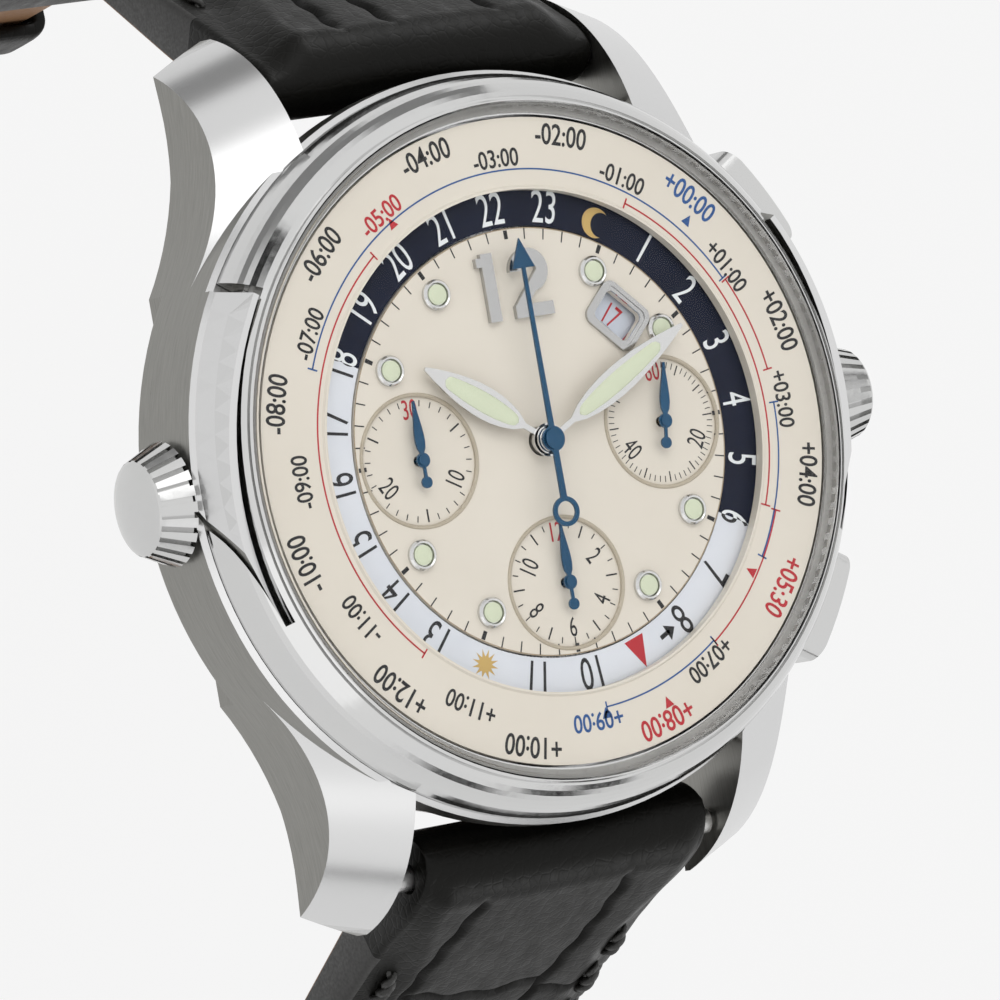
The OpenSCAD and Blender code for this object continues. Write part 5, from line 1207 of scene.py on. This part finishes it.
def slot_block(half, s_from, s_to, wide):
    """A block through the strap, from s_from to s_to and wide across."""
    corner = np.array([half.place(np.array(s), np.array(u), np.array(h)) for s in (s_from, s_to)
                       for u in (-wide / 2, wide / 2) for h in (-THROUGH, THROUGH)])
    quads = np.array([(0, 1, 3, 2), (4, 6, 7, 5), (0, 4, 5, 1), (2, 3, 7, 6), (0, 2, 6, 4), (1, 5, 7, 3)])
    return corner, facing_out(corner, halved(quads))

# %% [markdown]
# Both halves are cut from one hide, so no two scales are alike. Seeded draws space the cross grooves: they
# look grown, and are the same at each run.

# %% Strap halves
SPRING_BAR_D, BUCKLE_BAR_D, TANG_SLOT_W = 1.9, 1.5, 2.3
BAR_S, HOLE_PITCH, HOLE_COUNT, HOLE_D, FIRST_HOLE = 76.3, 6.5, 7, 2.0, 18.0
TIP_L, TIP_BACK = 12.0, 1.0


def tip_width(s):
    """Half width of the pointed end: it follows 0.52 w cos a over the last 12 mm."""
    a = np.radians(np.linspace(0, 90, 60))
    along = HOLE_HALF.length + (TIP_L - TIP_BACK) * (0.72 * np.sin(a) + 0.28 * a / (np.pi / 2)) - TIP_L
    return np.minimum(HOLE_HALF.half_width(s), np.interp(s, along, STRAP_END_W * 0.52 * np.cos(a)))


def nose_stations():
    """Rings close together round the nose before the bar."""
    return -NOSE_R * np.cos(np.linspace(0.09, np.pi / 2, 14))[:-1]


# The long grooves of each half: place across, swing, period along and phase.
LONG_LINES = {
    "buckle": ((-5.2, 0.50, 34.0, 0.4), (-1.9, 0.45, 41.0, 1.9), (5.4, 0.55, 29.0, 3.1)),
    "hole": ((-5.6, 0.55, 37.0, 2.6), (3.9, 0.70, 31.0, 0.9)),
}


def cross_places(columns, length, first, seed):
    """Places of the cross grooves in each column from a seeded draw: 7.5 to 10.5 mm apart, and closer in the
    two outer columns."""
    draw = np.random.default_rng(seed)
    out = []
    for c in range(columns):
        at, places = first + draw.uniform(-1.5, 3.0), []
        while at < length:
            places.append(at)
            at += draw.uniform(7.5, 10.5) * (0.72 if c in (0, columns - 1) else 1.0)
        out.append(places)
    return out


def build_straps():
    """Both halves as closed meshes, cut for their bars, the tang and the holes."""
    half, length = BUCKLE_HALF, BUCKLE_HALF.length
    flat_end = length - ROUND_END
    end = flat_end + ROUND_END * np.sin(np.linspace(0, 1.45, 8))
    stations = np.concatenate([nose_stations(), np.linspace(0, flat_end, 330)[:-1], end])
    first = put("strap_buckle_leather", strap_mesh(
        "strap_buckle_leather", half, stations, half.half_width, LONG_LINES["buckle"],
        cross_places(4, length, 12.0, 11), across=150, round_end=True))
    spring = np.array([0, BAR_Y * MM, BAR_Z * MM])
    cut(first, [slot_block(half, BAR_S - 3.0, BAR_S + 11.0, TANG_SLOT_W)])
    cut(first, [bar_hole(spring, SPRING_BAR_D), bar_hole(half.point(BAR_S), BUCKLE_BAR_D)])

    half, length = HOLE_HALF, HOLE_HALF.length
    end = length - TIP_BACK - TIP_L * (1 - np.sin(np.linspace(0, math.pi / 2, 46)))
    end[-1] -= 0.02
    stations = np.concatenate([nose_stations(), np.linspace(0, length - TIP_BACK - TIP_L, 380)[:-1], end])
    second = put("strap_hole_leather", strap_mesh(
        "strap_hole_leather", half, stations, tip_width, LONG_LINES["hole"],
        cross_places(3, length, 11.0, 5), across=140, round_end=False))
    holes = length - FIRST_HOLE - HOLE_PITCH * np.arange(HOLE_COUNT)
    cut(second, [bar_hole(spring * [1, -1, 1], SPRING_BAR_D)]
        + [rod(half.point(s, -THROUGH), half.point(s, THROUGH), HOLE_D) for s in holes])
    for obj, body, node in (
        (first, "strap_buckle", "strap_buckle_half"),
        (second, "strap_hole", "strap_hole_half"),
    ):
        obj.data.polygons.foreach_set("use_smooth", [True] * len(obj.data.polygons))
        obj.data.set_sharp_from_angle(angle=math.radians(38))
        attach(obj, body)
        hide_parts(node)
        print(obj.name, len(obj.data.polygons), "faces")


build_straps()

# %% [markdown]
# ## Stitches
# The seam is waxed thread of two strands, sewn by hand with equal gaps. A painted line would have no shadow,
# so each stitch is a pair of wound tubes that dip into the leather at both ends.

# %% Stitches
STITCH_L, STITCH_PITCH, STITCH_FROM = 3.2, 4.2, 8.0
STRAND_R, STRAND_OUT, WINDINGS = 0.27, 0.20, 1.75


def stitch_row(half, sign, stop, width_at):
    """Stitches STITCH_L long. Each is two strands wound round each other that come out of the leather, lie
    on it and go back in."""
    parts = []
    t = np.linspace(0, 1, 22)
    for n in range(int((stop - STITCH_FROM) // STITCH_PITCH)):
        s = STITCH_FROM + n * STITCH_PITCH + STITCH_L * t
        u = sign * (width_at(s) - STITCH_IN)
        base = outer_height(half, s, u, 0 * s)
        lift = -0.30 + 0.62 * np.sin(np.pi * t) ** 0.45
        swell = STRAND_R * np.clip(np.sin(np.pi * t) ** 0.3, 0.35, 1)
        for strand in (0, 1):
            a = 2 * np.pi * WINDINGS * t + np.pi * strand + 0.7 * n
            path = half.place(s, u + STRAND_OUT * np.cos(a), base + lift + 0.15 * np.sin(a))
            parts.append(tube(path, swell * MM, 7))
    return parts


def build_stitches():
    """A row along each edge of both halves."""
    for name, body, half, stop, width_at in (
        ("stitches_buckle", "strap_buckle", BUCKLE_HALF, 66.0, BUCKLE_HALF.half_width),
        ("stitches_hole", "strap_hole", HOLE_HALF, 104.0, tip_width),
    ):
        parts = [p for sign in (-1, 1) for p in stitch_row(half, sign, stop, width_at)]
        verts, faces = joined(parts)
        obj = put(name, mesh_of(name, verts, faces))
        obj.data.materials.append(THREAD)
        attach(obj, body)
        print(name, len(parts) // 2, "stitches", len(faces), "triangles")


build_stitches()

# %% [markdown]
# ## Keepers
# Two loops of the same leather hold the free end: one is sewn in beside the buckle, the other slides. Each
# is one rounded section swept round a rounded rectangle, which gives even thickness at the corners.

# %% Keepers
KEEPER_T, KEEPER_W, KEEPER_CORNER = 1.1, 5.0, 0.75
KEEPER_STEP, SQUARENESS = 0.6, 0.35
ROOM_UNDER, ROOM_OVER, ROOM_FIXED, ROOM_SLIDING = 0.2, 0.3, 0.9, 1.7


def loop_path(x, low, high):
    """A rounded rectangle from -x to x and from low to high, and its outward directions. Each straight run
    has a point about every KEEPER_STEP."""
    path, out = [], []
    x, low, high = x - KEEPER_CORNER, low + KEEPER_CORNER, high - KEEPER_CORNER
    for corner, start in (((x, high), 0), ((-x, high), 90), ((-x, low), 180), ((x, low), 270)):
        a = np.radians(np.linspace(start, start + 90, 9))
        ray = np.stack([np.cos(a), np.sin(a)], 1)
        path.extend(corner + KEEPER_CORNER * ray)
        out.extend(ray)
    dense = []
    for a, b, out_a, out_b in zip(path, path[1:] + path[:1], out, out[1:] + out[:1]):
        steps = max(1, int(np.linalg.norm(b - a) / KEEPER_STEP))
        dense += [(*(a + (b - a) * k / steps), *(out_a + (out_b - out_a) * k / steps)) for k in range(steps)]
    return np.array(dense)[:, :2], np.array(dense)[:, 2:]


def rounded(wave, half):
    """A wave from -1 to 1, squared off and scaled to half."""
    return half * np.sign(wave) * np.abs(wave) ** SQUARENESS


def keeper(name, node, body, s, inner_w):
    """A leather loop: a strip with rounded edges and a slightly domed outside, swept along a rounded
    rectangle that has room for both straps."""
    low = -FLAT_T / 2 - ROOM_UNDER - KEEPER_T / 2
    high = FLAT_T / 2 + FLAT_T + ROOM_OVER + KEEPER_T / 2
    path, out = loop_path(inner_w / 2 + KEEPER_T / 2, low, high)
    angle = np.linspace(0, 2 * np.pi, 36, endpoint=False)
    across, depth = rounded(np.cos(angle), KEEPER_W / 2), rounded(np.sin(angle), KEEPER_T / 2)
    depth = np.where(depth > 0, depth * (1 - 0.16 * (across / (KEEPER_W / 2)) ** 4), depth)
    u, h = (path[:, k, None] + out[:, k, None] * depth for k in (0, 1))
    y0, z0 = BUCKLE_HALF.run(np.array(s))
    y, z = turned(across + 0 * u, h, BUCKLE_HALF.direction(np.array(s)))
    verts = np.stack([u, BAR_Y + y0 + y, BAR_Z + z0 + z], -1).reshape(-1, 3) * MM
    mesh = mesh_of(name, verts, facing_out(verts, grid_faces(len(path), len(angle), True, True)))
    mesh.attributes.new("groove", "FLOAT", "POINT").data.foreach_set("value", np.zeros(len(verts)))
    mesh.materials.append(LEATHER)
    obj = put(name, mesh)
    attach(obj, body)
    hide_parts(node)
    print(name, len(mesh.polygons), "faces")


keeper("fixed_keeper_leather", "fixed_keeper", "strap_buckle", BAR_S - 9, STRAP_END_W + ROOM_FIXED)
keeper("sliding_keeper_leather", "sliding_keeper", "keeper", BAR_S - 23, STRAP_END_W + ROOM_SLIDING)

# %% [markdown]
# ## Last step
# The two small lamps that draw the gloss on the leather would also glare in the crystal, so they are linked
# to the strap alone.

# %% Finish
strap_only = bpy.data.collections.new("strap_only")
for piece_name in ("strap_buckle_leather", "strap_hole_leather", "stitches_buckle", "stitches_hole",
                   "fixed_keeper_leather", "sliding_keeper_leather"):
    strap_only.objects.link(bpy.data.objects[piece_name])
for lamp_name in ("strap_glow", "strap_glow_low"):
    bpy.data.objects[lamp_name].light_linking.receiver_collection = strap_only
